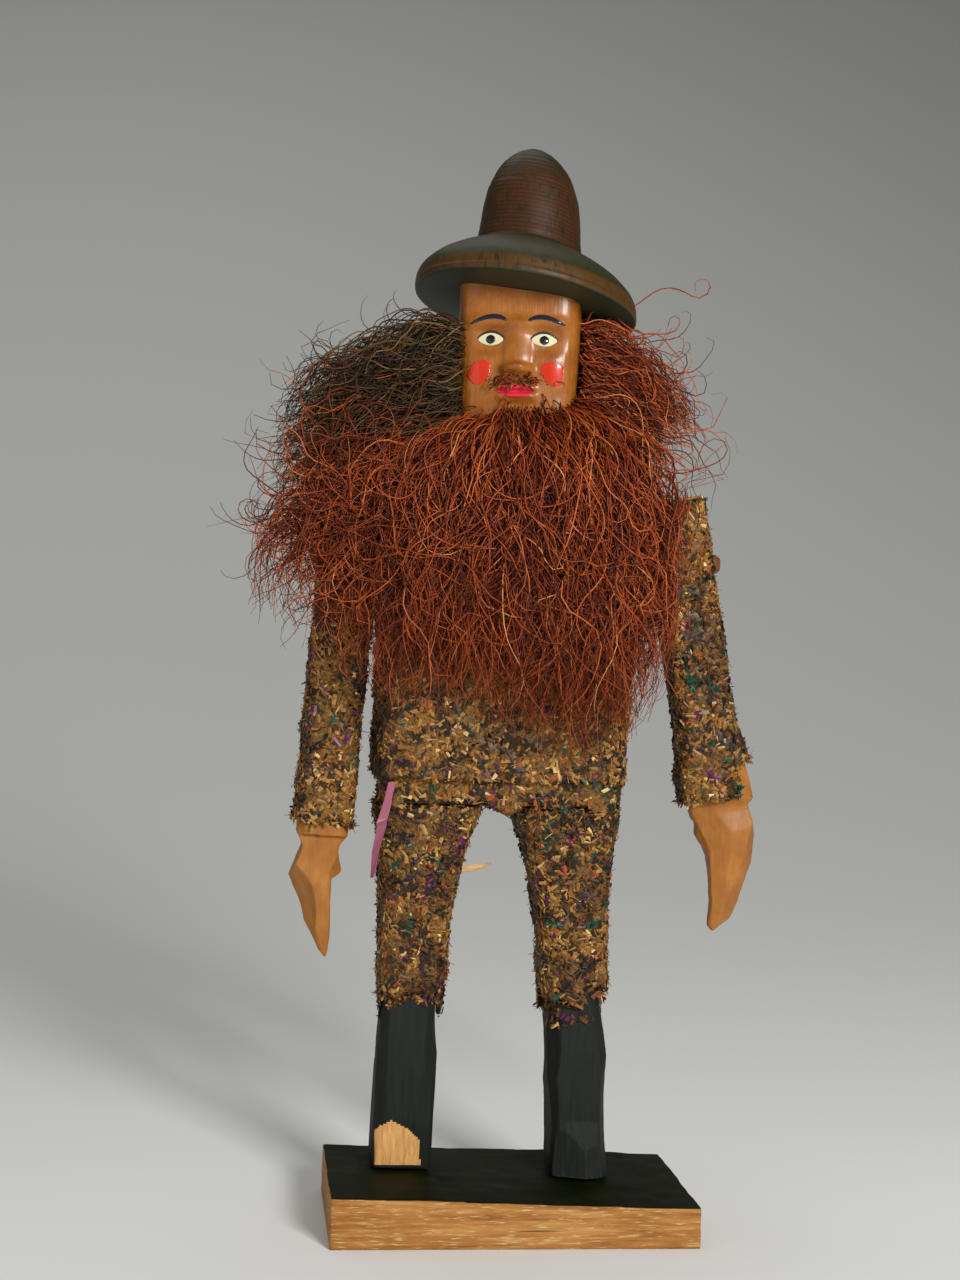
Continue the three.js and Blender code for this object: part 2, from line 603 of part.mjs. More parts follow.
// The straw coat of an arm. On the left arm it misses a strip above the outer cuff.
function sleeveCoat(side) {
  const { width, sleeve, cuff } = ARM[side];
  const wall = SLEEVE.wall + GAP;
  const shape = roundedShape(width + 2 * wall, ARM.depth + 2 * wall, SLEEVE.corner);
  const tube = reshape(prism(shape, -sleeve, ARM.above - SLEEVE.belowTop, 12), (p) => {
    const low = THREE.MathUtils.clamp((-p.z - cuff / 2) / (cuff / 2), 0, 1);
    p.y *= 1 + SLEEVE.spreadDeep * low;
  });
  const openings = [armStick(side, GAP)];
  if (side === LEFT) {
    const { inner, top } = BARE_STRIP;
    const reach = 2 * BEYOND;
    openings.push(box(reach, HAND_BLANK.depth, -sleeve - 1, -top, inner + reach / 2, 0));
  }
  return cut(peggedAt(side, cut(widenedToCuff(side, tube), ...openings)), pegHole(side));
}

// A round wooden peg, domed at its outer end, glued into the torso.
function shoulderPeg(side) {
  const start = AXIS.x + side * (TORSO.width / 2 - PEG.inTorso);
  const length = Math.abs(pegEnd(side) - start);
  const { radius, domeRadius, domeRim, domeTop } = PEG;
  const profile = [[0, 0], [radius, 0], [radius, length - domeRim], [domeRadius, length - domeTop],
    [0, length]];
  return new THREE.LatheGeometry(profile.map(([r, z]) => new THREE.Vector2(r, z)), 16)
    .rotateZ(side === LEFT ? -Math.PI / 2 : Math.PI / 2)
    .translate(start, AXIS.y, SHOULDER_Z);
}

// ---- Hair and beard ----------------------------------------------------------------

// Space that the hair and the beard keep clear of.
function hairClearance() {
  const { hemZ, topZ, width, shoulderWall } = TORSO_COAT;
  const coat = 2 * (shoulderWall + GAP);
  const torso = box(width + coat, TORSO.depth + coat, hemZ, topZ + GAP, AXIS.x, AXIS.y);
  const neck = rod(NECK_DOWEL.radius + GAP, TORSO.topZ, HEAD.bottomZ + 1, HEAD.x, AXIS.y);
  return [torso, headBlank(GAP), hatBlank(GAP), neck];
}

function ellipsoid({ middle, radii }) {
  return new THREE.SphereGeometry(1, 18, 12).rotateX(Math.PI / 2).scale(...radii).translate(...middle);
}

function roomBox([x0, x1, y0, y1, z0, z1]) {
  return box(x1 - x0, y1 - y0, z0, z1, (x0 + x1) / 2, (y0 + y1) / 2);
}

// A lump of fibre inside its box.
function lump(key) {
  return overlapOf(ellipsoid(LUMP[key]), roomBox(ROOM[key]));
}

// Lumps of fibre cut back from everything they grow around.
function hair(...keys) {
  return cut(join(...keys.map(lump)), ...hairClearance());
}

// What is left of a moustache glued over the mouth.
function moustache() {
  const front = HEAD.y - HEAD.depth / 2;
  const middle = [HEAD.x, front - MOUSTACHE.proud, NOSE.tipZ - MOUSTACHE.below];
  return turnedWithHead(ellipsoid({ middle, radii: MOUSTACHE.radii }));
}

// ---- Loose bits of the coat --------------------------------------------------------

// A flat dyed straw that hangs from the seat down the outside of the right leg.
function dyedStraw() {
  const { thick, wide, chamfer } = DYED_STRAW;
  const extrudePath = new THREE.CatmullRomCurve3(DYED_STRAW_PATH.map((p) => new THREE.Vector3(...p)));
  return new THREE.ExtrudeGeometry(chamferedShape(thick, wide, chamfer), { steps: 12, extrudePath });
}

// A splinter of wood that stands out of the coat between the legs.
function legSplinter() {
  const { radius, length, rise, middle } = SPLINTER;
  return new THREE.ConeGeometry(radius, length, 6).rotateZ(rise - Math.PI / 2).translate(...middle);
}

// ---- Assembly ----------------------------------------------------------------------

add('base_board', baseBoard(), COLOUR.paintedGreen, 0.4);
add('torso_block', torsoBlock(), COLOUR.bareWood, 0.8);
add('torso_coat', torsoCoat(), COLOUR.straw, 0.9);
add('neck_dowel', neckDowel(), COLOUR.bareWood, 0.8);
add('head_block', headBlock(), COLOUR.skinVarnish, 0.35);
add('hat', hat(), COLOUR.hatStain, 0.4);
add('hat_dowel', hatDowel(), COLOUR.bareWood, 0.8);
add('hair_right', hair('hairRight'), COLOUR.darkHair, 0.9);
add('hair_left', hair('hairLeft'), COLOUR.beard, 0.9);
add('hair_back', hair('hairBack'), COLOUR.beard, 0.9);
add('beard', hair('beard', 'chin'), COLOUR.beard, 0.9);
add('moustache', moustache(), COLOUR.beard, 0.9);
add('dyed_straw', dyedStraw(), COLOUR.purpleStraw, 0.5);
add('leg_splinter', legSplinter(), COLOUR.bareWood, 0.8);

for (const [side, word] of [[RIGHT, 'right'], [LEFT, 'left']]) {
  add(`${word}_leg`, leg(side), COLOUR.bootPaint, 0.7);
  add(`${word}_leg_coat`, legCoat(side), COLOUR.straw, 0.9);
  add(`${word}_hip_dowel`, hipDowel(side), COLOUR.bareWood, 0.8);
  add(`${word}_foot_nail`, footNail(side), COLOUR.steel, 0.4, 1);
  add(`${word}_arm`, arm(side), COLOUR.skinPaint, 0.6);
  add(`${word}_sleeve_coat`, sleeveCoat(side), COLOUR.straw, 0.9);
  add(`${word}_shoulder_peg`, shoulderPeg(side), COLOUR.peg, 0.6);
  add(`${word}_beard_lock`, lump(side), COLOUR.beard, 0.9);
}

export default figurine;
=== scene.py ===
# The looks of the carved forest man: whittled wood, paint, a coat of chopped straw,
# and hair and beard of loose plant fibre. Lengths in this file are millimetres, and
# make_piece turns them into Blender's metres.

import math

import bpy
import numpy as np
from mathutils import Matrix, Vector


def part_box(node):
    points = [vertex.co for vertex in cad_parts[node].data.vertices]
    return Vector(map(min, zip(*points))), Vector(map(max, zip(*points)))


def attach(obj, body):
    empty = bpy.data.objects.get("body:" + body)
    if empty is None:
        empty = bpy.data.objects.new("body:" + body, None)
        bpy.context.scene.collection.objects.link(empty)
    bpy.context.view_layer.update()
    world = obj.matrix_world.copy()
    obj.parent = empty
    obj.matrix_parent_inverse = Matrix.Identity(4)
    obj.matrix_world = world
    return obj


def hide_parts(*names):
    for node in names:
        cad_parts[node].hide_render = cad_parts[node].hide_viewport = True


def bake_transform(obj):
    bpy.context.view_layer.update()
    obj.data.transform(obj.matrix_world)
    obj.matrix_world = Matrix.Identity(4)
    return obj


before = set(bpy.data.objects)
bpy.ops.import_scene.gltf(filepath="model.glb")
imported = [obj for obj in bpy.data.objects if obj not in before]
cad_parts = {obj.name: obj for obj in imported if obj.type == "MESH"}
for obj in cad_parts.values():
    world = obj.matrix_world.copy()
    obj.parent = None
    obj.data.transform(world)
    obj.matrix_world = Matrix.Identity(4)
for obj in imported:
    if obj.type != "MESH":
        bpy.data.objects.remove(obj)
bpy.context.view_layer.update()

MM = 0.001
RIGHT = -1                       # the figure's own right side lies at -X
LEFT = 1
SIDES = ((RIGHT, "right"), (LEFT, "left"))
AXIS_X = -1.7                    # upright middle line of the figure


def box_of(node):
    """A node's lowest and highest corners in millimetres."""
    low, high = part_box(node)
    return np.array(low) / MM, np.array(high) / MM


def middle_of(node):
    low, high = box_of(node)
    return (low + high) / 2


# ---- Colours and materials -----------------------------------------------------------

SOFT_SPECULAR = 0.25


def rgb(*levels):
    """A colour on the usual 0 to 255 scale, as Blender's linear numbers."""
    shares = [level / 255 for level in levels]
    return tuple(((c + 0.055) / 1.055) ** 2.4 if c > 0.0393 else c / 12.92 for c in shares) + (1,)


def plain_material(name, colour, roughness=0.5, **sockets):
    """A Principled material of one colour, with other sockets by name."""
    material = bpy.data.materials.new(name)
    material.use_nodes = True
    shader = material.node_tree.nodes["Principled BSDF"]
    shader.inputs["Base Color"].default_value = colour
    shader.inputs["Roughness"].default_value = roughness
    shader.inputs["Specular IOR Level"].default_value = SOFT_SPECULAR
    for socket, value in sockets.items():
        shader.inputs[socket.replace("_", " ")].default_value = value
    return material


class Pattern:
    """Builds a node pattern for one material, in object space and millimetres."""

    def __init__(self, name, roughness=0.5, **sockets):
        self.material = plain_material(name, (0.5, 0.5, 0.5, 1), roughness, **sockets)
        self.tree = self.material.node_tree
        self.shader = self.tree.nodes["Principled BSDF"]
        self.place = self.node("ShaderNodeTexCoord").outputs["Object"]

    def node(self, kind, **settings):
        node = self.tree.nodes.new(kind)
        for key, value in settings.items():
            setattr(node, key, value)
        return node

    def link(self, source, target):
        self.tree.links.new(source, target)

    def noise(self, size, detail=3.0, roughness=0.6, distortion=0.0):
        """Noise whose grains are size = (x, y, z) millimetres across."""
        mapping = self.node("ShaderNodeMapping")
        mapping.inputs["Scale"].default_value = [1 / (s * MM) for s in size]
        self.link(self.place, mapping.inputs["Vector"])
        texture = self.node("ShaderNodeTexNoise")
        texture.inputs["Scale"].default_value = 1
        texture.inputs["Detail"].default_value = detail
        texture.inputs["Roughness"].default_value = roughness
        texture.inputs["Distortion"].default_value = distortion
        self.link(mapping.outputs["Vector"], texture.inputs["Vector"])
        return texture.outputs["Fac"]

    def height(self, axis="Z"):
        split = self.node("ShaderNodeSeparateXYZ")
        self.link(self.place, split.inputs[0])
        return split.outputs[axis]

    def facing(self, axis="Z"):
        geometry = self.node("ShaderNodeNewGeometry")
        split = self.node("ShaderNodeSeparateXYZ")
        turn = self.node("ShaderNodeVectorTransform", vector_type="NORMAL",
                         convert_from="WORLD", convert_to="OBJECT")
        self.link(geometry.outputs["Normal"], turn.inputs[0])
        self.link(turn.outputs[0], split.inputs[0])
        return split.outputs[axis]

    def maths(self, operation, first, second=0.0):
        node = self.node("ShaderNodeMath", operation=operation)
        for socket, value in zip(node.inputs, (first, second)):
            if isinstance(value, (int, float)):
                socket.default_value = value
            else:
                self.link(value, socket)
        return node.outputs[0]

    def ramp(self, value, *stops):
        """Colours over a value: stops are (position, colour)."""
        node = self.node("ShaderNodeValToRGB")
        elements = node.color_ramp.elements
        while len(elements) < len(stops):
            elements.new(0.5)
        for element, (position, colour) in zip(elements, stops):
            element.position = position
            element.color = colour
        self.link(value, node.inputs[0])
        return node.outputs["Color"]

    def fade(self, value, low, high):
        """0 below low, 1 above high, and smooth between."""
        node = self.node("ShaderNodeMapRange", interpolation_type="SMOOTHSTEP")
        node.inputs["From Min"].default_value = low
        node.inputs["From Max"].default_value = high
        self.link(value, node.inputs["Value"])
        return node.outputs["Result"]

    def mix(self, factor, first, second):
        node = self.node("ShaderNodeMix", data_type="RGBA")
        self.link(factor, node.inputs["Factor"])
        for index, value in ((6, first), (7, second)):
            if isinstance(value, tuple):
                node.inputs[index].default_value = value
            else:
                self.link(value, node.inputs[index])
        return node.outputs[2]

    def finish(self, colour, bump=None, bump_height=0.1, roughness=None):
        self.link(colour, self.shader.inputs["Base Color"])
        if roughness is not None:
            self.link(roughness, self.shader.inputs["Roughness"])
        if bump is not None:
            node = self.node("ShaderNodeBump")
            node.inputs["Distance"].default_value = bump_height * MM
            self.link(bump, node.inputs["Height"])
            self.link(node.outputs["Normal"], self.shader.inputs["Normal"])
        return self.material


def plain_materials(prefix, **rows):
    """Plain materials, each from its name, its colour and its roughness."""
    return [plain_material(f"{prefix}_{word}", rgb(*row[:3]), row[3]) for word, row in rows.items()]


def bare_wood_material(name, light, dark, grain=(0.5, 0.5, 9), roughness=0.62):
    """Bare or thinly painted wood, its grain long along the biggest size."""
    p = Pattern(name, roughness)
    fine = p.noise(grain, detail=6, roughness=0.7)
    colour = p.ramp(fine, (0.3, dark), (0.62, light))
    return p.finish(colour, fine, 0.12)


def boot_paint_material():
    p = Pattern("boot_paint", 0.65)
    grain = p.noise((0.45, 0.45, 7), detail=6, roughness=0.7)
    cloud = p.noise((6, 6, 9), detail=4)
    colour = p.ramp(grain, (0.25, rgb(7, 9, 8)), (0.55, rgb(20, 24, 20)), (0.85, rgb(37, 42, 33)))
    worn = p.ramp(cloud, (0.35, rgb(12, 15, 12)), (0.75, rgb(28, 31, 25)))
    mixed = p.mix(p.fade(cloud, 0.35, 0.8), colour, worn)
    return p.finish(mixed, grain, 0.14)


def hand_paint_material():
    p = Pattern("hand_paint", 0.55, Coat_Weight=0.15, Coat_Roughness=0.35)
    grain = p.noise((0.4, 0.4, 6), detail=6, roughness=0.7)
    cloud = p.noise((3, 3, 5), detail=4)
    colour = p.ramp(cloud, (0.3, rgb(140, 84, 28)), (0.55, rgb(158, 100, 38)),
                    (0.8, rgb(180, 122, 58)))
    streak = p.ramp(grain, (0.3, rgb(112, 62, 20)), (0.6, rgb(160, 102, 42)))
    return p.finish(p.mix(p.fade(grain, 0.55, 0.75), colour, streak), grain, 0.1)


def face_varnish_material():
    p = Pattern("face_varnish", 0.42, Coat_Weight=0.35, Coat_Roughness=0.22)
    grain = p.noise((0.5, 0.5, 5), detail=6, roughness=0.65)
    cloud = p.noise((3.5, 3.5, 3), detail=3)
    base = p.ramp(cloud, (0.25, rgb(124, 66, 15)), (0.5, rgb(146, 84, 23)), (0.8, rgb(164, 104, 40)))
    streak = p.ramp(grain, (0.3, rgb(116, 58, 14)), (0.65, rgb(150, 92, 30)))
    return p.finish(p.mix(p.fade(grain, 0.5, 0.8), base, streak), grain, 0.08)


WAVE_TURNS = 20                  # how many turns Blender's wave pattern makes in a unit
HAT_RING_PITCH = 0.62


def hat_material(hat):
    """Bands of stain by height along the hat's own axis: grey-green below, a brown edge,
    an olive-black brim and a brown crown with fine turning rings."""
    p = Pattern("hat_stain", 0.5)
    rings = p.node("ShaderNodeTexWave", wave_type="BANDS", bands_direction="Z", wave_profile="SIN")
    rings.inputs["Scale"].default_value = 2 * math.pi / WAVE_TURNS / (HAT_RING_PITCH * MM)
    rings.inputs["Distortion"].default_value = 0.8
    grain = p.noise((0.6, 0.6, 5), detail=5)
    cloud = p.noise((7, 7, 5), detail=4)
    along = p.node("ShaderNodeVectorMath", operation="DOT_PRODUCT")
    p.link(p.place, along.inputs[0])
    along.inputs[1].default_value = hat["axis"]
    start = float(hat["base"] @ hat["axis"])
    level = p.maths("SUBTRACT", along.outputs["Value"], start * MM)
    lifted = p.node("ShaderNodeCombineXYZ")
    p.link(level, lifted.inputs["Z"])
    p.link(lifted.outputs[0], rings.inputs["Vector"])
    rise = p.maths("DIVIDE", level, hat["height"] * MM)
    wavy = p.maths("ADD", rise, p.maths("MULTIPLY", p.maths("SUBTRACT", cloud, 0.5), 0.07))
    under, edge, olive = rgb(48, 54, 38), rgb(72, 48, 14), rgb(42, 40, 12)
    foot, brown, top = rgb(18, 12, 3), rgb(64, 35, 8), rgb(38, 30, 6)
    bands = p.ramp(wavy, (0.0, under), (0.012, edge), (0.084, edge), (0.108, olive), (0.322, olive),
                   (0.342, foot), (0.362, brown), (0.74, brown), (0.88, top), (1.0, rgb(38, 34, 10)))
    ringed = p.mix(p.fade(rings.outputs["Fac"], 0.0, 0.45), rgb(46, 26, 6), bands)
    on_crown = p.mix(p.fade(rise, 0.335, 0.39), bands, ringed)
    streaked = p.mix(p.fade(grain, 0.28, 0.5), rgb(32, 24, 6), on_crown)
    below = p.mix(p.fade(p.facing("Z"), -0.55, -0.35), under, streaked)
    return p.finish(below, grain, 0.06)


def board_material():
    """Dark green paint on top, bare sawn wood with worn streaks on the edges."""
    p = Pattern("board_paint", 0.6, Specular_IOR_Level=0.1)
    along = p.noise((10, 1.2, 0.7), detail=6, roughness=0.65)
    fine = p.noise((2.2, 2.2, 0.25), detail=5)
    cloud = p.noise((7, 5, 3), detail=4)
    wood = p.ramp(along, (0.25, rgb(116, 70, 30)), (0.5, rgb(160, 108, 54)), (0.75, rgb(188, 142, 84)))
    pale = p.mix(p.fade(fine, 0.52, 0.72), wood, rgb(200, 166, 112))
    paint = p.ramp(cloud, (0.25, rgb(8, 12, 0)), (0.55, rgb(15, 20, 0)), (0.85, rgb(32, 37, 3)))
    uneven = p.maths("MULTIPLY", p.maths("SUBTRACT", cloud, 0.5), 0.5)
    up = p.fade(p.maths("ADD", p.facing("Z"), uneven), 0.45, 0.75)
    return p.finish(p.mix(up, pale, paint), fine, 0.08)


def coat_bed_material():
    """The matted glue and sawdust that the straw sits in, in patches of several colours."""
    p = Pattern("coat_bed", 0.5, Coat_Weight=0.15, Coat_Roughness=0.35)
    grains = p.noise((0.45, 0.45, 0.45), detail=6, roughness=0.75)
    patch = p.noise((3.2, 3.2, 3.2), detail=3)
    tint = p.noise((2.2, 2.2, 2.2), detail=4, roughness=0.7, distortion=0.5)
    light = p.ramp(grains, (0.32, rgb(50, 33, 10)), (0.48, rgb(106, 72, 28)), (0.62, rgb(148, 108, 52)),
                   (0.75, rgb(196, 158, 96)))
    dark = p.ramp(grains, (0.35, rgb(14, 10, 6)), (0.52, rgb(44, 29, 12)), (0.7, rgb(98, 70, 32)))
    matted = p.mix(p.fade(patch, 0.46, 0.53), dark, light)
    green = p.mix(p.fade(tint, 0.64, 0.7), matted, rgb(20, 62, 44))
    purple = p.mix(p.fade(tint, 0.36, 0.3), green, rgb(58, 24, 50))
    return p.finish(purple, grains, 0.45)


BARE_WOOD = bare_wood_material("bare_wood", rgb(222, 170, 104), rgb(178, 122, 64))
PEG_WOOD = bare_wood_material("peg_wood", rgb(120, 74, 42), rgb(78, 44, 24), (3, 0.3, 0.3), 0.45)
BOOT_PAINT = boot_paint_material()
HAND_PAINT = hand_paint_material()
FACE_VARNISH = face_varnish_material()
COAT_BED = coat_bed_material()
NAIL_STEEL = plain_material("nail_steel", rgb(120, 118, 114), 0.42, Metallic=1.0)

STRAW_SHADES = plain_materials(
    "straw",
    ochre=(132, 88, 34, 0.4), tan=(160, 118, 60, 0.38), pale=(206, 170, 108, 0.3),
    brown=(94, 58, 22, 0.42), dark=(50, 33, 13, 0.5), black=(16, 14, 14, 0.4),
    green=(22, 70, 52, 0.36), purple=(84, 32, 70, 0.36), rust=(156, 70, 32, 0.42),
)
OCHRE, TAN, PALE, BROWN, DARK, BLACK, GREEN, PURPLE, RUST = range(len(STRAW_SHADES))
STRAW_SHARES = [0.28, 0.13, 0.02, 0.32, 0.13, 0.03, 0.035, 0.025, 0.03]
DYED_RIBBON = plain_material("dyed_ribbon", rgb(148, 82, 100), 0.28)
SHARD_WOOD = bare_wood_material("shard_wood", rgb(206, 164, 108), rgb(132, 92, 52), (4, 0.3, 0.3), 0.5)

BEARD_SHADES = plain_materials(
    "fibre",
    red=(152, 66, 24, 0.42), russet=(116, 46, 16, 0.45), deep=(70, 22, 5, 0.5),
    # The last, rarest and palest shade here is a painted highlight on whole fibres.
    copper=(184, 94, 42, 0.36), sandy=(206, 136, 80, 0.34),
)
BEARD_SHARES = [0.34, 0.3, 0.24, 0.1, 0.02]
DARK_SHADES = plain_materials(
    "dark_fibre",
    brown=(64, 43, 15, 0.45), grey=(76, 57, 30, 0.42), deep=(30, 19, 5, 0.5),
    light=(112, 86, 48, 0.36), rust=(86, 44, 15, 0.45),
)
DARK_SHARES = [0.33, 0.22, 0.3, 0.09, 0.06]

# ---- Making pieces -------------------------------------------------------------------


def make_piece(name, points, faces, materials, body, face_materials=None, replaces=(),
               smooth=True):
    """One mesh object from millimetre points and lists of equal-sided face arrays."""
    mesh = bpy.data.meshes.new(name)
    faces = [np.asarray(f, dtype=np.int32) for f in faces if len(f)]
    sizes = np.concatenate([np.full(len(f), f.shape[1], dtype=np.int32) for f in faces])
    corners = np.concatenate([f.ravel() for f in faces])
    mesh.vertices.add(len(points))
    mesh.vertices.foreach_set("co", (np.asarray(points) * MM).astype(np.float32).ravel())
    mesh.loops.add(len(corners))
    mesh.loops.foreach_set("vertex_index", corners)
    mesh.polygons.add(len(sizes))
    starts = np.concatenate([[0], np.cumsum(sizes)[:-1]])
    mesh.polygons.foreach_set("loop_start", starts.astype(np.int32))
    mesh.polygons.foreach_set("use_smooth", np.full(len(sizes), smooth))
    for material in materials:
        mesh.materials.append(material)
    if face_materials is not None:
        mesh.polygons.foreach_set("material_index", np.asarray(face_materials, dtype=np.int32))
    mesh.update(calc_edges=True)
    piece = bpy.data.objects.new(name, mesh)
    bpy.context.scene.collection.objects.link(piece)
    if body:
        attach(piece, body)
    if replaces:
        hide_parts(*replaces)
    return piece


def noise(points, size, seed):
    """Smooth noise from -1 to 1 at each point, with bumps about size across."""
    place = points / size + 31.7 * seed
    cell = np.floor(place).astype(np.int64)
    part = place - cell
    part = part * part * (3 - 2 * part)
    total = np.zeros(len(points))
    for corner in np.ndindex(2, 2, 2):
        weight = np.prod(np.where(corner, part, 1 - part), axis=1)
        x, y, z = (cell + corner).T
        mixed = (x * 73856093) ^ (y * 19349663) ^ (z * 83492791) ^ (seed * 2654435)
        mixed = (mixed ^ (mixed >> 13)) * 1274126177
        total += weight * (((mixed >> 7) & 0xFFFF) / 32767.5 - 1)
    return total


def bezier(p0, p1, p2, p3, steps):
    """Cubic curves for many strands at once: (strands, steps, 3)."""
    t = np.linspace(0, 1, steps)[None, :, None]
    p0, p1, p2, p3 = (p[:, None, :] for p in (p0, p1, p2, p3))
    return (1 - t) ** 3 * p0 + 3 * (1 - t) ** 2 * t * p1 + 3 * (1 - t) * t ** 2 * p2 + t ** 3 * p3


def node_triangles(node):
    """Corner points of a CAD node's triangles: (triangles, 3, 3), in millimetres."""
    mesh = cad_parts[node].data
    mesh.calc_loop_triangles()
    corners = np.empty(len(mesh.loop_triangles) * 3, dtype=np.int32)
    mesh.loop_triangles.foreach_get("vertices", corners)
    places = np.empty(len(mesh.vertices) * 3)
    mesh.vertices.foreach_get("co", places)
    return (places.reshape(-1, 3) / MM)[corners.reshape(-1, 3)]


def refined(node, voxel):
    """A CAD node's shape as a fine even mesh: its points, its quads and its normals."""
    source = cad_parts[node]
    copy = bpy.data.objects.new("refining", source.data.copy())
    bpy.context.scene.collection.objects.link(copy)
    remesh = copy.modifiers.new("fine", "REMESH")
    remesh.mode = "VOXEL"
    remesh.voxel_size = voxel * MM
    mesh = copy.evaluated_get(bpy.context.evaluated_depsgraph_get()).to_mesh()
    points = np.empty(len(mesh.vertices) * 3)
    mesh.vertices.foreach_get("co", points)
    normals = np.empty(len(mesh.vertices) * 3)
    mesh.vertices.foreach_get("normal", normals)
    corners = np.empty(len(mesh.loops), dtype=np.int32)
    mesh.loops.foreach_get("vertex_index", corners)
    sizes = np.empty(len(mesh.polygons), dtype=np.int32)
    mesh.polygons.foreach_get("loop_total", sizes)
    starts = np.concatenate([[0], np.cumsum(sizes)[:-1]])
    quads = corners[starts[sizes == 4][:, None] + np.arange(4)]
    triangles = corners[starts[sizes == 3][:, None] + np.arange(3)]
    bpy.data.objects.remove(copy)
    return points.reshape(-1, 3) / MM, [quads, triangles], normals.reshape(-1, 3)


def lean_of(points):
    """Middle line of an upright, leaning piece: a function from height to (x, y)."""
    levels = np.linspace(points[:, 2].min() + 1, points[:, 2].max() - 1, 24)
    middles = []
    for level in levels:
        near = points[np.abs(points[:, 2] - level) < 1]
        middles.append((near[:, :2].min(axis=0) + near[:, :2].max(axis=0)) / 2)
    fits = [np.polyfit(levels, column, 1) for column in np.array(middles).T]
    return lambda z: np.stack([np.polyval(fit, z) for fit in fits] + [0 * z], axis=-1)


def whittle(points, count, depth, low, high, seed, scoop=0.012):
    """Knife cuts at random places between two heights, each shaving a long shallow facet."""
    rng = np.random.default_rng(seed)
    lean = lean_of(points)
    straight = points - lean(points[:, 2])
    for level in rng.uniform(low, high, count):
        turn = rng.uniform(0, 2 * math.pi)
        normal = unit(np.array([math.cos(turn), math.sin(turn), rng.normal(0, 0.05)]))
        near = straight[np.abs(straight[:, 2] - level) < 1]
        reach = (near @ normal).max() - rng.uniform(0.3, 1) * depth
        over = straight @ normal - reach - scoop * (straight[:, 2] - level) ** 2
        straight -= np.outer(np.maximum(over, 0), normal)
    return straight + lean(points[:, 2])


def unit(vectors):
    """Vectors of length one, along the last axis."""
    return vectors / np.maximum(np.linalg.norm(vectors, axis=-1, keepdims=True), 1e-9)


def ring_stack(points, rows, around):
    """Closes a stack of rings of points: all its points and its faces."""
    row = np.arange(rows - 1)[:, None] * around
    step = np.arange(around)[None, :]
    after = (step + 1) % around
    quads = np.stack([row + step, row + after, row + around + after, row + around + step], axis=2)
    ends = np.stack([points[:around].mean(axis=0), points[-around:].mean(axis=0)])
    first, last, top = rows * around, rows * around + 1, (rows - 1) * around
    below = np.stack([np.full(around, first), after[0], step[0]], axis=1)
    above = np.stack([np.full(around, last), top + step[0], top + after[0]], axis=1)
    return np.concatenate([points, ends]), [quads.reshape(-1, 4), np.concatenate([below, above])]


# ---- Camera, floor and lights --------------------------------------------------------

CAMERA_PLACE = (-39.1, -268.2, 81)
CAMERA_AHEAD = (0.122, 0.9925, 0)
CAMERA_ROLL = 2.0                # degrees that the picture's content leans clockwise
CAMERA_LENS = 54.3
LAMP_AIM = (0, 0, 80)
LAMPS = (                        # name, place, aim, size and power in watts
    ("key", (150, -440, 240), LAMP_AIM, 130, 2.6),
    ("fill", (-480, -380, 160), LAMP_AIM, 420, 0.5),
    ("sky", (-200, 500, 1500), (0, 350, 0), 1600, 9),
)
WORLD_STRENGTH = 0.11
FLOOR = {"half_width": 4000, "front": -3000, "back": 260, "bend": 2200, "top": 5000}


def add_camera():
    data = bpy.data.cameras.new("camera")
    data.lens = CAMERA_LENS
    data.clip_start = 0.01
    camera = bpy.data.objects.new("camera", data)
    ahead = Vector(CAMERA_AHEAD).normalized()
    level = ahead.cross(Vector((0, 0, 1)))
    roll = math.radians(CAMERA_ROLL)
    right = level * math.cos(roll) + Vector((0, 0, 1)) * math.sin(roll)
    up = right.cross(ahead)
    turned = Matrix((right, up, -ahead)).transposed().to_4x4()
    camera.matrix_world = Matrix.Translation(Vector(CAMERA_PLACE) * MM) @ turned
    bpy.context.scene.collection.objects.link(camera)
    bpy.context.scene.camera = camera


def add_floor():
    """A pale floor that curves up into a backdrop."""
    back, bend = FLOOR["back"], FLOOR["bend"]
    outline = [(FLOOR["front"], 0), (back, 0)]
    for angle in np.linspace(0.05, math.pi / 2, 40):
        outline.append((back + bend * math.sin(angle), bend - bend * math.cos(angle)))
    outline.append((back + bend, FLOOR["top"]))
    points = [(x, y, z) for y, z in outline for x in (-FLOOR["half_width"], FLOOR["half_width"])]
    faces = [(2 * i, 2 * i + 1, 2 * i + 3, 2 * i + 2) for i in range(len(outline) - 1)]
    mesh = bpy.data.meshes.new("floor")
    mesh.from_pydata([Vector(p) * MM for p in points], [], faces)
    for polygon in mesh.polygons:
        polygon.use_smooth = True
    mesh.materials.append(plain_material("floor", rgb(226, 226, 222), 0.9))
    floor = bpy.data.objects.new("floor", mesh)
    bpy.context.scene.collection.objects.link(floor)


def add_lamp(name, place, aim, size, power):
    data = bpy.data.lights.new(name, "AREA")
    data.size = size * MM
    data.energy = power
    lamp = bpy.data.objects.new(name, data)
    lamp.location = Vector(place) * MM
    direction = Vector(aim) * MM - lamp.location
    lamp.rotation_euler = direction.to_track_quat("-Z", "Y").to_euler()
    bpy.context.scene.collection.objects.link(lamp)


def add_lights():
    for lamp in LAMPS:
        add_lamp(*lamp)
    world = bpy.data.worlds.new("world")
    world.use_nodes = True
    world.node_tree.nodes["Background"].inputs["Color"].default_value = (1, 1, 1, 1)
    world.node_tree.nodes["Background"].inputs["Strength"].default_value = WORLD_STRENGTH
    bpy.context.scene.world = world
    bpy.context.scene.view_settings.view_transform = "Standard"


# ---- Base board ----------------------------------------------------------------------

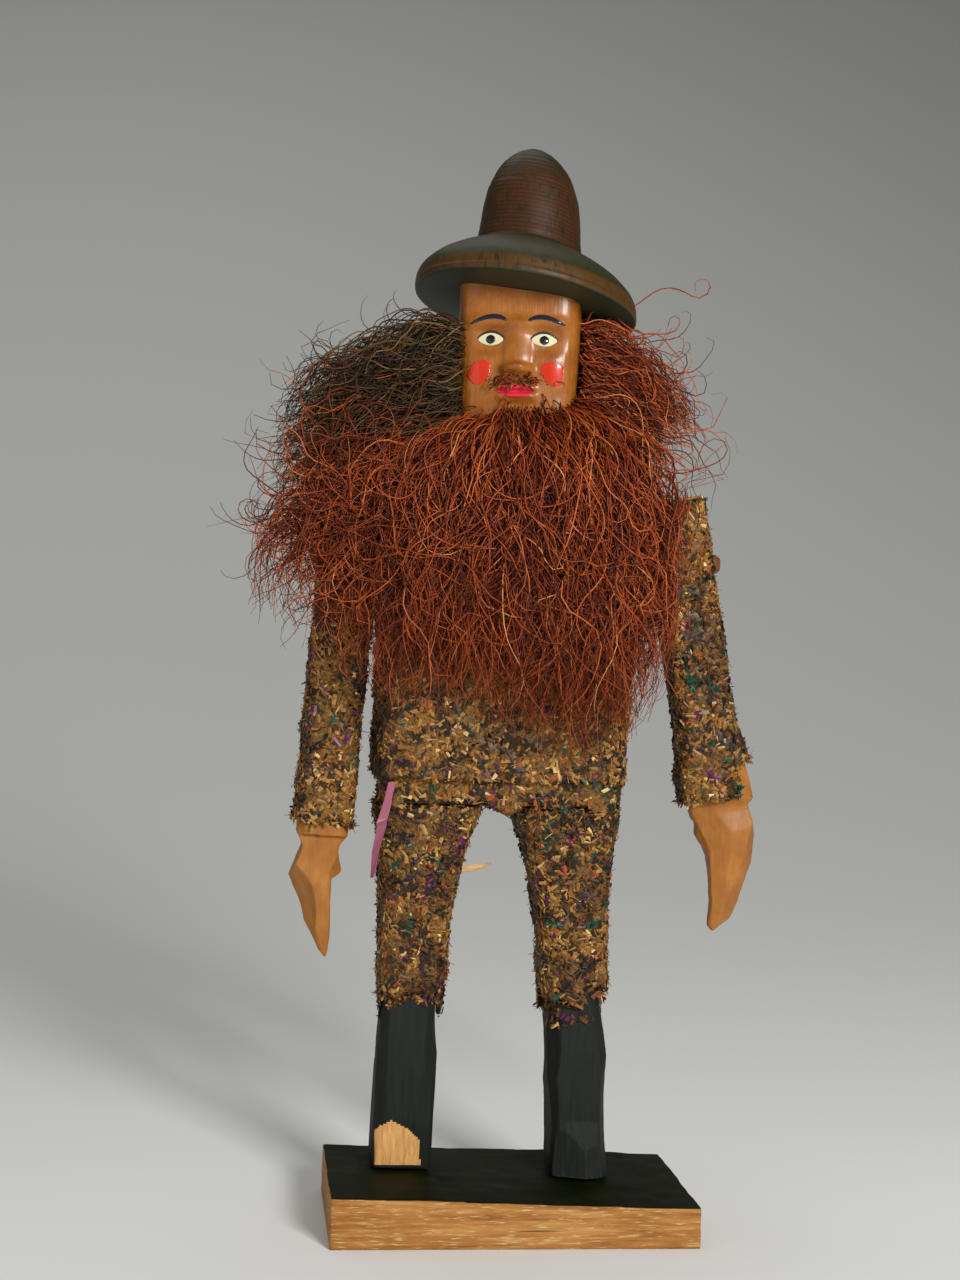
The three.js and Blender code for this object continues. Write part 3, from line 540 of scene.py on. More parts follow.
def add_board():
    points, faces, normals = refined("base_board", voxel=0.3)
    front = box_of("base_board")[0][1]
    edge = np.exp(-np.abs(points[:, 1] - front) / 0.6)
    saw = 0.05 * np.sin(points[:, 2] * 9 + 2 * noise(points, 12, 3)) * edge
    wear = 0.09 * noise(points, 2.5, 1) + 0.14 * noise(points, 9, 2)
    keep = np.clip((points[:, 2] - 0.4) / 0.8, 0, 1)
    points = points + normals * ((wear + saw) * keep)[:, None]
    make_piece("base_board_sawn", points, faces, [board_material()], "figure",
               replaces=("base_board",))


# ---- Whittled legs and arms ----------------------------------------------------------

SHIN_CUTS_TOP = 34               # the knife cuts on a leg end below its straw coat
BARE_RIM = 0.7                   # painted strip left under the bare break
# Top of the bare break on the right toe: distance across the foot, height over the board.
BARE_TOE = [(-4.4, 4.2), (-4.2, 5.4), (-1.8, 7.2), (0.9, 5.8), (2.3, 4.3), (2.5, 1)]


def add_leg(side, word):
    node = f"{word}_leg"
    points, faces, normals = refined(node, voxel=0.28)
    sole = box_of(node)[0][2]
    points = whittle(points, count=22, depth=0.45, low=sole, high=SHIN_CUTS_TOP, seed=11 + side)
    grain = 0.035 * noise(points * [1, 1, 0.08], 0.5, 4) + 0.05 * noise(points, 4, 5)
    points = points + normals * grain[:, None]
    centres = np.concatenate([points[f].mean(axis=1) for f in faces])
    facing = np.concatenate([normals[f].mean(axis=1) for f in faces])
    bare = np.zeros(len(centres), dtype=int)
    if side == RIGHT:
        front = centres[:, 1].min()
        foot_x = middle_of("right_foot_nail")[0]
        across = centres[:, 0] - foot_x
        arch = sole + np.interp(across, *np.array(BARE_TOE).T) + 0.25 * noise(centres, 0.8, 6)
        broken = (facing[:, 1] < -0.6) & (centres[:, 2] < arch) & (centres[:, 1] < front + 3)
        broken &= (across > BARE_TOE[0][0]) & (across < BARE_TOE[-1][0])
        bare[broken & (centres[:, 2] > sole + BARE_RIM)] = 1
    make_piece(f"{node}_whittled", points, faces, [BOOT_PAINT, BARE_WOOD], "figure",
               bare, (node,))


def add_arm(side, word):
    node = f"{word}_arm"
    points, faces, normals = refined(node, voxel=0.2)
    tip = box_of(node)[0][2]
    points = whittle(points, count=10, depth=0.3, low=tip + 2, high=tip + 15, seed=31 + side, scoop=0.04)
    grain = 0.03 * noise(points * [1, 1, 0.1], 0.5, 7) + 0.05 * noise(points, 2.5, 8)
    points = points + normals * grain[:, None]
    make_piece(f"{node}_whittled", points, faces, [HAND_PAINT], f"{word}_arm_swing",
               None, (node,))


# ---- Straw coats ---------------------------------------------------------------------

def sample_surface(node, per_mm2, rng):
    """Random points on a node's outer faces, with the faces' normals."""
    a, b, c = node_triangles(node).transpose(1, 0, 2)
    normals = np.cross(b - a, c - a)
    areas = np.linalg.norm(normals, axis=1) / 2
    normals = unit(normals)
    centres = (a + b + c) / 3
    spine = middle_of(node)
    slope = np.polyfit(centres[:, 2], centres[:, 0], 1, w=areas + 1e-6)
    away = np.stack([centres[:, 0] - np.polyval(slope, centres[:, 2]), centres[:, 1] - spine[1]], axis=1)
    outward = (normals[:, :2] * away).sum(axis=1)
    keep = (outward > 0.3) | (np.abs(normals[:, 2]) > 0.7)
    weights = np.where(keep, areas, 0)
    count = int(weights.sum() * per_mm2)
    pick = rng.choice(len(areas), count, p=weights / weights.sum())
    u, v = rng.random((2, count, 1))
    flip = (u + v) > 1
    u, v = np.where(flip, 1 - u, u), np.where(flip, 1 - v, v)
    return a[pick] + u * (b - a)[pick] + v * (c - a)[pick], normals[pick]


def sample_outer(points, normals):
    """Which points of a coat lie on its outside, facing away from its middle line."""
    lean = lean_of(points)
    return ((points - lean(points[:, 2]))[:, :2] * normals[:, :2]).sum(axis=1) > 0


def straw_bits(centres, normals, rng, long=(0.5, 1.6), wide=(0.2, 0.65), thick=(0.05, 0.13),
               tilt=0.14):
    """Little tapered chips that lie roughly along a surface: points and faces."""
    count = len(centres)
    random_way = unit(rng.normal(size=(count, 3)))
    along = unit(np.cross(normals, random_way) + normals * rng.normal(0, tilt, (count, 1)))
    across = unit(np.cross(along, normals) + normals * rng.normal(0, tilt, (count, 1)))
    out = np.cross(across, along)
    length = rng.uniform(*long, (count, 1)) / 2
    width = rng.uniform(*wide, (count, 1)) / 2
    height = rng.uniform(*thick, (count, 1))
    bend = out * rng.normal(0, 0.06, (count, 1))
    taper = rng.uniform(0.4, 1, (count, 1))
    corners = np.stack([
        centres - along * length - across * width,
        centres - along * length + across * width,
        centres - along * length * 0.9 + out * height,
        centres + along * length - across * width * taper + bend,
        centres + along * length + across * width * taper + bend,
        centres + along * length * 0.9 + out * height + bend,
    ], axis=1)
    start = 6 * np.arange(count)[:, None]
    ends = np.concatenate([start + [0, 2, 1], start + [3, 4, 5]])
    walls = np.concatenate([start + [0, 1, 4, 3], start + [1, 2, 5, 4], start + [2, 0, 3, 5]])
    return corners.reshape(-1, 3), [ends, walls]


def shade_picks(count, shares, rng):
    return rng.choice(len(shares), count, p=np.array(shares) / sum(shares))


def patchy_shades(places, rng, seed):
    """Shades that lie together in patches, as handfuls of dyed chips were pressed on."""
    count = len(places)
    patch = noise(places, 3.6, seed) + 0.6 * noise(places, 1.4, seed + 1)
    tint = noise(places, 2.4, seed + 2) + 0.4 * noise(places, 1.1, seed + 3)
    shade = shade_picks(count, STRAW_SHARES, rng)
    follows = rng.random(count)
    dark = rng.choice([BROWN, DARK, BLACK], count, p=[0.35, 0.4, 0.25])
    light = rng.choice([OCHRE, TAN, PALE], count, p=[0.58, 0.36, 0.06])
    shade = np.where((patch < -0.22) & (follows < 0.85), dark, shade)
    shade = np.where((patch > 0.3) & (follows < 0.8), light, shade)
    for low, high, colour in ((0.68, 9, GREEN), (-9, -0.74, PURPLE), (0.5, 0.56, RUST)):
        shade = np.where((tint > low) & (tint < high) & (follows < 0.6), colour, shade)
    return shade


def add_bits(name, places, ways, shade, body, rng, **sizes):
    bits, faces = straw_bits(places, ways, rng, **sizes)
    return make_piece(name, bits, faces, STRAW_SHADES, body,
                      np.concatenate([np.tile(shade, 2), np.tile(shade, 3)]), (), False)


LIMB_STRAW, BODY_STRAW = 3.6, 3.0    # chips on each square millimetre of a coat
SLIVER_SHARE = 0.13
SLIVER = {"long": (0.9, 2.4), "wide": (0.07, 0.16), "thick": (0.05, 0.1), "tilt": 0.4}


def ragged_edge(points, bottom, ragged, seed):
    """The uneven lower edge of a coat: how far each point hangs down, and whether the
    coat is missing there."""
    wander = ragged * (0.2 + 1.3 * noise(points * [1, 1, 0], 2.6, seed))
    above = points[:, 2] - bottom
    hang = np.clip(1 - above / 3, 0, 1) * np.maximum(wander, 0)
    return hang, above < -wander


def coat_heave(points, seed):
    """How far the clumps of a coat stand out."""
    return 0.3 * noise(points, 2.4, seed + 1) + 0.22 * noise(points, 5.5, seed + 2)


def add_coat(node, body, seed, per_mm2, ragged=0.0, sink=0.0):
    """A rough bed of glue and sawdust, and the chopped straw stuck all over it."""
    rng = np.random.default_rng(seed)
    points, faces, normals = refined(node, voxel=0.4)
    lumps = 0.18 * noise(points, 0.9, seed) + coat_heave(points, seed)
    bottom = points[:, 2].min()
    hang, missing = ragged_edge(points, bottom, ragged, seed + 3)
    outer = sample_outer(points, normals)
    lumps = np.where(outer, lumps - sink - 1.5 * missing, 0)
    points = points + normals * lumps[:, None]
    points[:, 2] -= hang
    make_piece(f"{node}_bed", points, faces, [COAT_BED], body, None, (node,))
    for word, share, sizes in (("straw", 1.0, {}), ("slivers", SLIVER_SHARE, SLIVER)):
        places, ways = sample_surface(node, per_mm2 * share, rng)
        hang, missing = ragged_edge(places, bottom, ragged, seed + 3)
        heave = coat_heave(places, seed) - sink
        places = places + ways * (heave + rng.uniform(-0.1, 0.1, len(places)))[:, None]
        places[:, 2] -= hang
        places, ways = places[~missing], ways[~missing]
        add_bits(f"{node}_{word}", places, ways, patchy_shades(places, rng, seed + 4), body, rng, **sizes)


def add_spill(node, body, seed, top, run, per_mm2=4.0):
    """Straw and glue that ran on past the end of a coat, in patches that thin out."""
    rng = np.random.default_rng(seed)
    places, ways = sample_surface(node, per_mm2, rng)
    down = (top - places[:, 2]) / run
    patch = 0.5 + 0.6 * noise(places, 2.4, seed)
    keep = (down > -0.2) & (down < 1) & (patch > down + 0.15) & (np.abs(ways[:, 2]) < 0.7)
    places, ways = places[keep], ways[keep]
    places = places + ways * rng.uniform(0.02, 0.3, len(places))[:, None]
    add_bits(f"{node}_spilled_straw", places, ways, patchy_shades(places, rng, seed + 4), body, rng)


def ribbon(name, spine, half_widths, half_thick, material, replaces):
    """A flat strip along a line of points, its half-widths given as vectors."""
    spine, half_widths = np.array(spine, float), np.array(half_widths, float)
    along = unit(np.gradient(spine, axis=0))
    out = unit(np.cross(along, half_widths)) * half_thick
    rows = len(spine)
    points = np.stack([spine - half_widths - out, spine + half_widths - out,
                       spine + half_widths + out, spine - half_widths + out], axis=1).reshape(-1, 3)
    start = 4 * np.arange(rows - 1)[:, None]
    walls = np.concatenate([start + [a, b, b + 4, a + 4] for a, b in ((0, 1), (1, 2), (2, 3), (3, 0))])
    ends = np.array([[3, 2, 1, 0], [4 * rows - 4, 4 * rows - 3, 4 * rows - 2, 4 * rows - 1]])
    return make_piece(name, points, [walls, ends], [material], "figure", None, replaces, False)


def add_loose_bits():
    """The folded ribbon of dyed straw beside the leg, and the shard between the legs."""
    low, high = box_of("dyed_straw")
    middle = (low + high) / 2
    heights = high[2] - np.array([0, 2.4, 5.2, 5.7, 6.3, 9.6, 13.3])
    across = [high[0] - 0.6, high[0] - 1.1, middle[0] - 0.2, middle[0] - 0.35, middle[0] - 0.3,
              low[0] + 0.6, low[0] + 0.3]
    forward = middle[1] + np.array([-0.5, -0.35, -0.1, -0.35, -0.1, 0.2, 0.4])
    turned = [(0.62, 0.1), (0.6, 0.12), (0.66, 0.05), (0.7, -0.1), (0.6, -0.3), (0.42, -0.34),
              (0.2, -0.3)]
    spine = np.stack([across, forward, heights], axis=1)
    ribbon("dyed_straw_folded", spine, [(x, y, 0.08) for x, y in turned], 0.09, DYED_RIBBON,
           ("dyed_straw",))
    low, high = box_of("leg_splinter")
    middle = (low + high) / 2
    rise = np.interp(np.linspace(0, 1, 5), [0, 0.5, 1], [low[2] + 0.2, middle[2], high[2]])
    spine = np.stack([np.linspace(low[0] - 0.9, high[0], 5), np.full(5, middle[1]), rise], axis=1)
    ribbon("leg_shard", spine, [(0, 0.1, w) for w in (0.45, 0.42, 0.36, 0.2, 0.03)], 0.14, SHARD_WOOD,
           ("leg_splinter",))


# ---- Hat -----------------------------------------------------------------------------

def hat_frame():
    """The hat's axis, the middle of its underside, its radius, its height and how far its
    crown moves sideways for each unit of height."""
    a, b, c = node_triangles("head_block").transpose(1, 0, 2)
    normals = np.cross(b - a, c - a)
    slant = normals[:, 2] / np.maximum(np.linalg.norm(normals, axis=1), 1e-9)
    top = (slant > 0.9) & (a[:, 2] > a[:, 2].max() - 4)
    axis = unit(normals[top].sum(axis=0))
    right = unit(np.cross([0, 1, 0], axis))
    back = np.cross(axis, right)
    points = node_triangles("hat").reshape(-1, 3)
    spans = [(points @ way).min() + (points @ way).max() for way in (right, back)]
    low = (points @ axis).min()
    height = float((points @ axis).max() - low)
    base = right * spans[0] / 2 + back * spans[1] / 2 + axis * low
    summit = points[(points @ axis).argmax()]
    return {
        "axis": axis, "right": right, "back": back, "base": base, "height": height,
        "radius": float(np.ptp(points @ back) / 2), "skew": (summit - base) / height - axis,
    }


# Half outline of the turned hat: (radius, height) as shares of the brim's radius and of
# the whole height.
HAT_UNDERSIDE = [(0.0006, 0.02), (0.5, 0)]
HAT_RIM = [(0.925, 0), (1, 0), (1, 0), (1, 0.0385)]
HAT_SLOPE = [(1, 0.0385), (1, 0.154), (0.818, 0.239), (0.497, 0.342)]
HAT_CROWN = [(0.475, 0.342), (0.437, 0.585), (0.409, 0.697), (0.355, 0.803), (0.311, 0.855), (0.245, 0.91),
             (0.176, 0.949), (0.088, 0.983), (0.0006, 1)]
HAT_POINTS_AROUND = 160
HAT_GROOVES_FROM = 7             # height in mm where the crown's turning grooves begin
HAT_GROOVE_TURN = 10             # radians of groove for each millimetre of height


def hat_profile(hat):
    """Half outline of the turned hat in millimetres, with fine steps."""
    rim = bezier(*(np.array([p], float) for p in HAT_RIM), 12)[0]
    slope = bezier(*(np.array([p], float) for p in HAT_SLOPE), 40)[0]
    rows = range(len(HAT_CROWN))
    levels = np.linspace(0, rows[-1], 90)
    crown = np.stack([np.interp(levels, rows, column) for column in np.array(HAT_CROWN).T], axis=1)
    outline = np.concatenate([HAT_UNDERSIDE, rim, slope, crown])
    return outline * [hat["radius"], hat["height"]]


def add_hat():
    hat = hat_frame()
    profile = hat_profile(hat)
    around = HAT_POINTS_AROUND
    turn = np.linspace(0, 2 * math.pi, around, endpoint=False)
    radius, height = profile[:, 0][:, None], profile[:, 1][:, None]
    points = (hat["base"] + height[..., None] * (hat["axis"] + hat["skew"])
              + radius[..., None] * (np.cos(turn)[None, :, None] * hat["right"]
                                     + np.sin(turn)[None, :, None] * hat["back"]))
    points = points.reshape(-1, 3)
    level = np.repeat(profile[:, 1], around)
    outward = unit(points - hat["base"] - np.outer(level, hat["axis"] + hat["skew"]))
    on_crown = np.clip((level - HAT_GROOVES_FROM) / 1.5, 0, 1)
    grooves = 0.03 * np.sin(level * HAT_GROOVE_TURN + 1.5 * np.sin(level * 1.7)) * on_crown
    ridge = 0.05 * noise(np.stack([level * 0, level * 0, level], axis=1), 0.5, 12)
    edge = (np.repeat(profile[:, 0], around) > 1)
    dents = 0.07 * noise(points, 5, 13) + 0.04 * noise(points, 1.6, 14)
    points = points + outward * ((grooves + ridge + dents) * edge)[:, None]
    points, faces = ring_stack(points, len(profile), around)
    make_piece("hat_turned", points, faces, [hat_material(hat)], "figure", None, ("hat",))


# ---- Head and painted face -----------------------------------------------------------

HEAD_HALF_WIDTH = 8.5
HEAD_HALF_DEPTH = 7.4
HEAD_YAW = math.radians(-12)
HEAD_FORWARD = 1.4               # the block's middle lies this far in front of its dowel
CHIN_Z = 109.6
BROW_Z = 124.7
EYE_Z = 122.4
NOSE_Z = 118.2
MOUTH_Z = 115.3
HEAD_SQUARENESS = 5.5
HEAD_NARROWING = 0.1             # share of its width that the head loses at the chin
HEAD_HEIGHT = 20
HEAD_POINTS_AROUND, HEAD_ROWS = 380, 150


def bump(value, centre, width):
    return np.exp(-((value - centre) / width) ** 2)


def ease(value, low, high):
    t = np.clip((value - low) / (high - low), 0, 1)
    return t * t * (3 - 2 * t)


def face_relief(u, z):
    """How far the carving stands out of the flat front of the head block."""
    aside = np.abs(u)
    relief = 0.5 * bump(z, BROW_Z, 0.9) * (1 - ease(aside, 5.6, 7.6))
    relief -= 1.15 * bump(z, EYE_Z, 1.55) * bump(aside, 3.9, 2.2)
    relief += 0.75 * bump(z, EYE_Z - 0.1, 1.0) * bump(aside, 3.7, 1.6)
    ridge = np.interp(z, [NOSE_Z - 0.9, NOSE_Z - 0.2, NOSE_Z + 0.5, NOSE_Z + 3, BROW_Z - 1.3, BROW_Z + 0.6],
                      [0, 2.1, 2.8, 2.0, 0.95, 0])
    wide = np.interp(z, [NOSE_Z - 0.6, NOSE_Z + 0.4, NOSE_Z + 3, BROW_Z], [2.0, 2.0, 1.4, 1.1])
    relief += ridge * np.clip((wide - aside) / (0.55 * wide), 0, 1)
    relief += 0.7 * bump(z, NOSE_Z + 0.1, 0.65) * bump(aside, 1.95, 0.5)
    lips = 1 - ease(aside, 2.1, 3.1)
    relief += 0.45 * bump(z, MOUTH_Z, 2.0) * bump(u, 0, 3.8)
    relief += lips * (0.38 * bump(z, MOUTH_Z + 0.6, 0.42) + 0.42 * bump(z, MOUTH_Z - 0.62, 0.5))
    relief -= lips * 0.4 * bump(z, MOUTH_Z, 0.2)
    relief -= 0.4 * bump(z, MOUTH_Z - 1.9, 0.6) * bump(u, 0, 2.8)
    relief += 0.75 * bump(z, CHIN_Z + 2, 1.3) * bump(u, 0, 3.2)
    relief += 0.18 * bump(z, NOSE_Z + 0.2, 2.1) * bump(aside, 5.0, 1.9)
    return relief


def head_narrowing(z):
    return 1 - HEAD_NARROWING * (1 - np.clip((z - CHIN_Z) / HEAD_HEIGHT, 0, 1)) ** 2


def head_place(u, v, z):
    """From the head's own axes (across, back, up) to the figurine's."""
    neck = middle_of("neck_dowel")
    back = v - HEAD_FORWARD
    x = neck[0] + u * math.cos(HEAD_YAW) - back * math.sin(HEAD_YAW)
    y = neck[1] + u * math.sin(HEAD_YAW) + back * math.cos(HEAD_YAW)
    return np.stack([x, y, z], axis=-1)


def face_point(u, z, lift=0.0):
    """A point on the carved front of the head, raised by lift."""
    narrow = head_narrowing(z)
    across = np.clip(np.abs(u / (HEAD_HALF_WIDTH * narrow)), 0, 0.999)
    flat = HEAD_HALF_DEPTH * narrow * (1 - across ** HEAD_SQUARENESS) ** (1 / HEAD_SQUARENESS)
    return head_place(u, -(flat + face_relief(u, z) + lift), z)


def add_head():
    around, rows = HEAD_POINTS_AROUND, HEAD_ROWS
    low, high = box_of("head_block")
    hat = hat_frame()
    turn = np.linspace(0, 2 * math.pi, around, endpoint=False)
    power = 2 / HEAD_SQUARENESS
    u = HEAD_HALF_WIDTH * np.sign(np.sin(turn)) * np.abs(np.sin(turn)) ** power
    v = -HEAD_HALF_DEPTH * np.sign(np.cos(turn)) * np.abs(np.cos(turn)) ** power
    z = np.linspace(low[2], high[2] + 0.5, rows)[:, None]
    narrow = head_narrowing(z)
    u, v = u[None, :] * narrow, v[None, :] * narrow
    front = ease(-v / HEAD_HALF_DEPTH, 0.72, 0.9)
    z = z + 0 * u
    v = v - face_relief(u, z) * front
    points = head_place(u, v, z).reshape(-1, 3)
    ways = unit(points - (points * [0, 0, 1] + middle_of("neck_dowel") * [1, 1, 0]))
    rough = 0.05 * noise(points, 1.3, 21) + 0.03 * noise(points * [1, 1, 0.1], 0.45, 22)
    points = points + ways * rough[:, None]
    over = np.maximum((points - hat["base"]) @ hat["axis"] + 0.05, 0)
    points = points - np.outer(over, hat["axis"])
    points, faces = ring_stack(points, rows, around)
    make_piece("head_carved", points, faces, [FACE_VARNISH], "figure", None,
               ("head_block",))


def paint_stroke(name, spine, widths, lift, material, across=9):
    """Thick paint along a line on the face: spine is (u, z) rows, widths its half-widths."""
    rows = len(spine)
    way = unit(np.gradient(spine, axis=0))
    side = np.stack([-way[:, 1], way[:, 0]], axis=1)
    spread = np.linspace(-1, 1, across)
    flat = spine[:, None, :] + side[:, None, :] * (widths[:, None] * spread)[..., None]
    ends = np.sin(np.linspace(0.12, math.pi - 0.12, rows)) ** 0.4
    crown = lift * (0.35 + 0.65 * np.sqrt(1 - 0.9 * spread ** 2)) * ends[:, None]
    top = face_point(flat[..., 0], flat[..., 1], crown).reshape(-1, 3)
    bottom = face_point(flat[..., 0], flat[..., 1], -0.25).reshape(-1, 3)
    index = np.arange(rows * across).reshape(rows, across)
    quads = np.stack([index[:-1, :-1], index[:-1, 1:], index[1:, 1:], index[1:, :-1]], axis=2)
    quads = quads.reshape(-1, 4)
    rim = np.concatenate([index[0, :], index[1:, -1], index[-1, -2::-1], index[-2:0:-1, 0]])
    following = np.roll(rim, -1)
    under = rows * across
    walls = np.stack([following, rim, rim + under, following + under], axis=1)
    flip = np.cross(top[1] - top[0], top[across] - top[0])[1] > 0
    faces = np.concatenate([quads, quads[:, ::-1] + under, walls])
    if flip:
        faces = faces[:, ::-1]
    return make_piece(name, np.concatenate([top, bottom]), [faces], [material], "figure")


def add_face_paint():
    """A calm, plain doll's face: level brows, round-ended eyes, red cheeks and a small mouth."""
    brow_paint = plain_material("brow_paint", rgb(34, 36, 46), 0.3, Coat_Weight=0.4)
    eye_white = plain_material("eye_white", rgb(206, 200, 158), 0.3, Coat_Weight=0.5)
    eye_dark = plain_material("eye_dark", rgb(24, 28, 32), 0.22, Coat_Weight=0.6)
    cheek_red = plain_material("cheek_red", rgb(192, 44, 16), 0.32, Coat_Weight=0.4)
    lip_pink = plain_material("lip_pink", rgb(206, 38, 62), 0.25, Coat_Weight=0.6)
    t = np.linspace(0, 1, 40)
    full = np.sin(np.clip(t, 0.02, 0.98) * math.pi)
    for side, word in SIDES:
        height = BROW_Z + 0.25 + 0.75 * np.sin(math.pi * t ** 0.8) - 0.5 * t
        arch = np.stack([side * (1.5 + 5.0 * t), height], axis=1)
        paint_stroke(f"{word}_brow_paint", arch, 0.42 * full ** 0.35 * (1 - 0.35 * t), 0.13, brow_paint)
        eye = np.stack([side * (2.0 + 3.4 * t), EYE_Z + 0.1 * np.sin(math.pi * t)], axis=1)
        paint_stroke(f"{word}_eye_white", eye, 0.92 * full ** 0.55, 0.1, eye_white, across=13)
        disc = np.stack([side * 3.7 + 0 * t, EYE_Z - 0.62 + 1.3 * t], axis=1)
        paint_stroke(f"{word}_pupil_paint", disc, 0.66 * full ** 0.5, 0.2, eye_dark)
        lid = np.stack([side * (1.8 + 3.7 * t), EYE_Z + 0.12 + 0.95 * np.sin(math.pi * t) ** 0.7], axis=1)
        paint_stroke(f"{word}_lid_line", lid, 0.1 + 0.06 * full, 0.16, brow_paint, across=5)
        cheek = np.stack([side * (4.9 + 0.25 * np.sin(5 * t)), NOSE_Z - 2.0 + 3.3 * t], axis=1)
        ragged = 1 + 0.1 * np.sin(9 * t + side) + 0.06 * np.sin(23 * t)
        paint_stroke(f"{word}_cheek_paint", cheek, 1.6 * full ** 0.5 * ragged, 0.05, cheek_red, across=15)
    mouth = np.stack([-2.6 + 5.2 * t, MOUTH_Z + 0.12 - 0.1 * np.sin(math.pi * t)], axis=1)
    paint_stroke("lip_paint", mouth, 0.95 * full ** 0.5, 0.1, lip_pink, across=17)


def add_moustache():
    """Short ends of fibre and crumbs of glue, all that is left over the mouth."""
    rng = np.random.default_rng(77)
    count = 150
    u = rng.normal(0, 1.5, count)
    z = MOUTH_Z + 1.5 + rng.normal(0, 0.42, count)
    root = face_point(u, z, 0.05)
    way = unit(np.stack([np.sign(u) * rng.uniform(0.2, 1.4, count), rng.uniform(-0.9, -0.1, count),
                         rng.normal(-0.25, 0.5, count)], axis=1))
    length = rng.uniform(0.6, 2.0, (count, 1))
    sag = np.array([0, 0.2, -0.25])
    paths = bezier(root, root + way * length * 0.4, root + way * length * 0.8 + sag * 0.3,
                   root + way * length + sag, 7)
    paths = wiry(paths, rng, sway=(0.3, 0.8), wave=(2, 5), hooked=0)
    add_fibres("moustache_fibres", paths, 0.06, BEARD_LOOK, rng, ("moustache",))
    count = 160
    u, z = rng.normal(0, 1.6, count), MOUTH_Z + 1.4 + rng.normal(0, 0.45, count)
    ways = np.tile([[0.0, -1.0, 0.0]], (count, 1))
    crumbs, faces = straw_bits(face_point(u, z, 0.06), ways, rng, long=(0.2, 0.5), wide=(0.15, 0.35),
                               thick=(0.1, 0.25), tilt=0.5)
    shade = shade_picks(count, [0.2, 0.1, 0, 0.4, 0.2, 0.1, 0, 0, 0.05], rng)
    make_piece("moustache_glue_crumbs", crumbs, faces, STRAW_SHADES, "figure",
               np.concatenate([np.tile(shade, 2), np.tile(shade, 3)]), (), False)


# ---- Fibres --------------------------------------------------------------------------

def wiry(paths, rng, sway=(0.25, 0.7), wave=(10, 26), hooked=0.25, hook=(1.2, 4.2), pull=0.8):
    """Bends every fibre into smooth arcs of its own, and hooks the ends of a share of them."""
    count, steps, _ = paths.shape
    moves = np.diff(paths, axis=1)
    length = np.linalg.norm(moves, axis=2)
    along = np.cumsum(length, axis=1)
    total = along[:, -1:]
    angles = []
    for weight in (1.0, 0.5):
        angle = np.zeros_like(along)
        for share, pitch in ((1.0, 1.0), (0.5, 0.42)):
            turns = 2 * math.pi * along / (rng.uniform(*wave, (count, 1)) * pitch)
            phase = rng.uniform(0, 2 * math.pi, (count, 1))
            angle += weight * share * rng.uniform(*sway, (count, 1)) * np.sin(turns + phase)
        angles.append(angle)
    start = rng.uniform(0.4, 0.85, (count, 1))
    turn = rng.uniform(*hook, (count, 1)) * rng.choice([-1, 1], (count, 1))
    turn = turn * (rng.random((count, 1)) < hooked)
    curl = turn * np.clip((along / total - start) / (1 - start), 0, 1)

    def walked(flat):
        x, y, z = moves[..., 0], moves[..., 1], moves[..., 2]
        way = np.stack([x * np.cos(flat) - z * np.sin(flat), y + length * np.sin(angles[1]),
                        x * np.sin(flat) + z * np.cos(flat)], axis=2)
        places = np.cumsum(unit(way) * length[..., None], axis=1)
        return np.concatenate([np.zeros((count, 1, 3)), places], axis=1)

    drift = (paths[:, -1] - paths[:, 0] - walked(angles[0])[:, -1])[:, None, :]
    part = np.linspace(0, 1, steps)[None, :, None]
    return paths[:, :1] + walked(angles[0] + curl) + pull * drift * part


def fibre_tubes(paths, radius, rng):
    """Thin three-sided tubes along the paths: points and faces."""
    count, steps, _ = paths.shape
    ways = unit(np.gradient(paths, axis=1))
    aside = unit(rng.normal(size=(count, 1, 3)))
    first = unit(np.cross(ways, aside))
    second = np.cross(ways, first)
    thin = rng.uniform(0.75, 1.15, (count, 1, 1)) * radius
    taper = np.interp(np.linspace(0, 1, steps), [0, 0.75, 1], [1, 0.95, 0.35])[None, :, None]
    rings = [paths + thin * taper * (math.cos(a) * first + math.sin(a) * second)
             for a in (0, 2 * math.pi / 3, 4 * math.pi / 3)]
    points = np.stack(rings, axis=2).reshape(-1, 3)
    start = (np.arange(count) * steps * 3)[:, None, None] + (np.arange(steps - 1) * 3)[None, :, None]
    sides = [np.array([a, b, b + 3, a + 3])[None, None, :] for a, b in ((0, 1), (1, 2), (2, 0))]
    quads = np.concatenate([(start + side).reshape(-1, 4) for side in sides])
    first_ring = (np.arange(count) * steps * 3)[:, None]
    caps = np.concatenate([first_ring + [2, 1, 0], first_ring + (steps - 1) * 3 + [0, 1, 2]])
    return points, [quads, caps]


BEARD_LOOK = (BEARD_SHADES, BEARD_SHARES, "beard_fibre")
DARK_LOOK = (DARK_SHADES, DARK_SHARES, "dark_fibre")
BACK_LOOK = (DARK_SHADES, DARK_SHARES, "beard_fibre")


def add_fibres(name, paths, radius, look, rng, replaces=(), body="figure"):
    points, faces = fibre_tubes(paths, radius, rng)
    count, steps, _ = paths.shape
    shades, shares, slot = look
    shade = shade_picks(count, shares, rng)
    wall_shades = np.tile(np.repeat(shade, steps - 1), 3)
    return make_piece(name, points, faces, shades, body,
                      np.concatenate([wall_shades, shade, shade]), replaces)


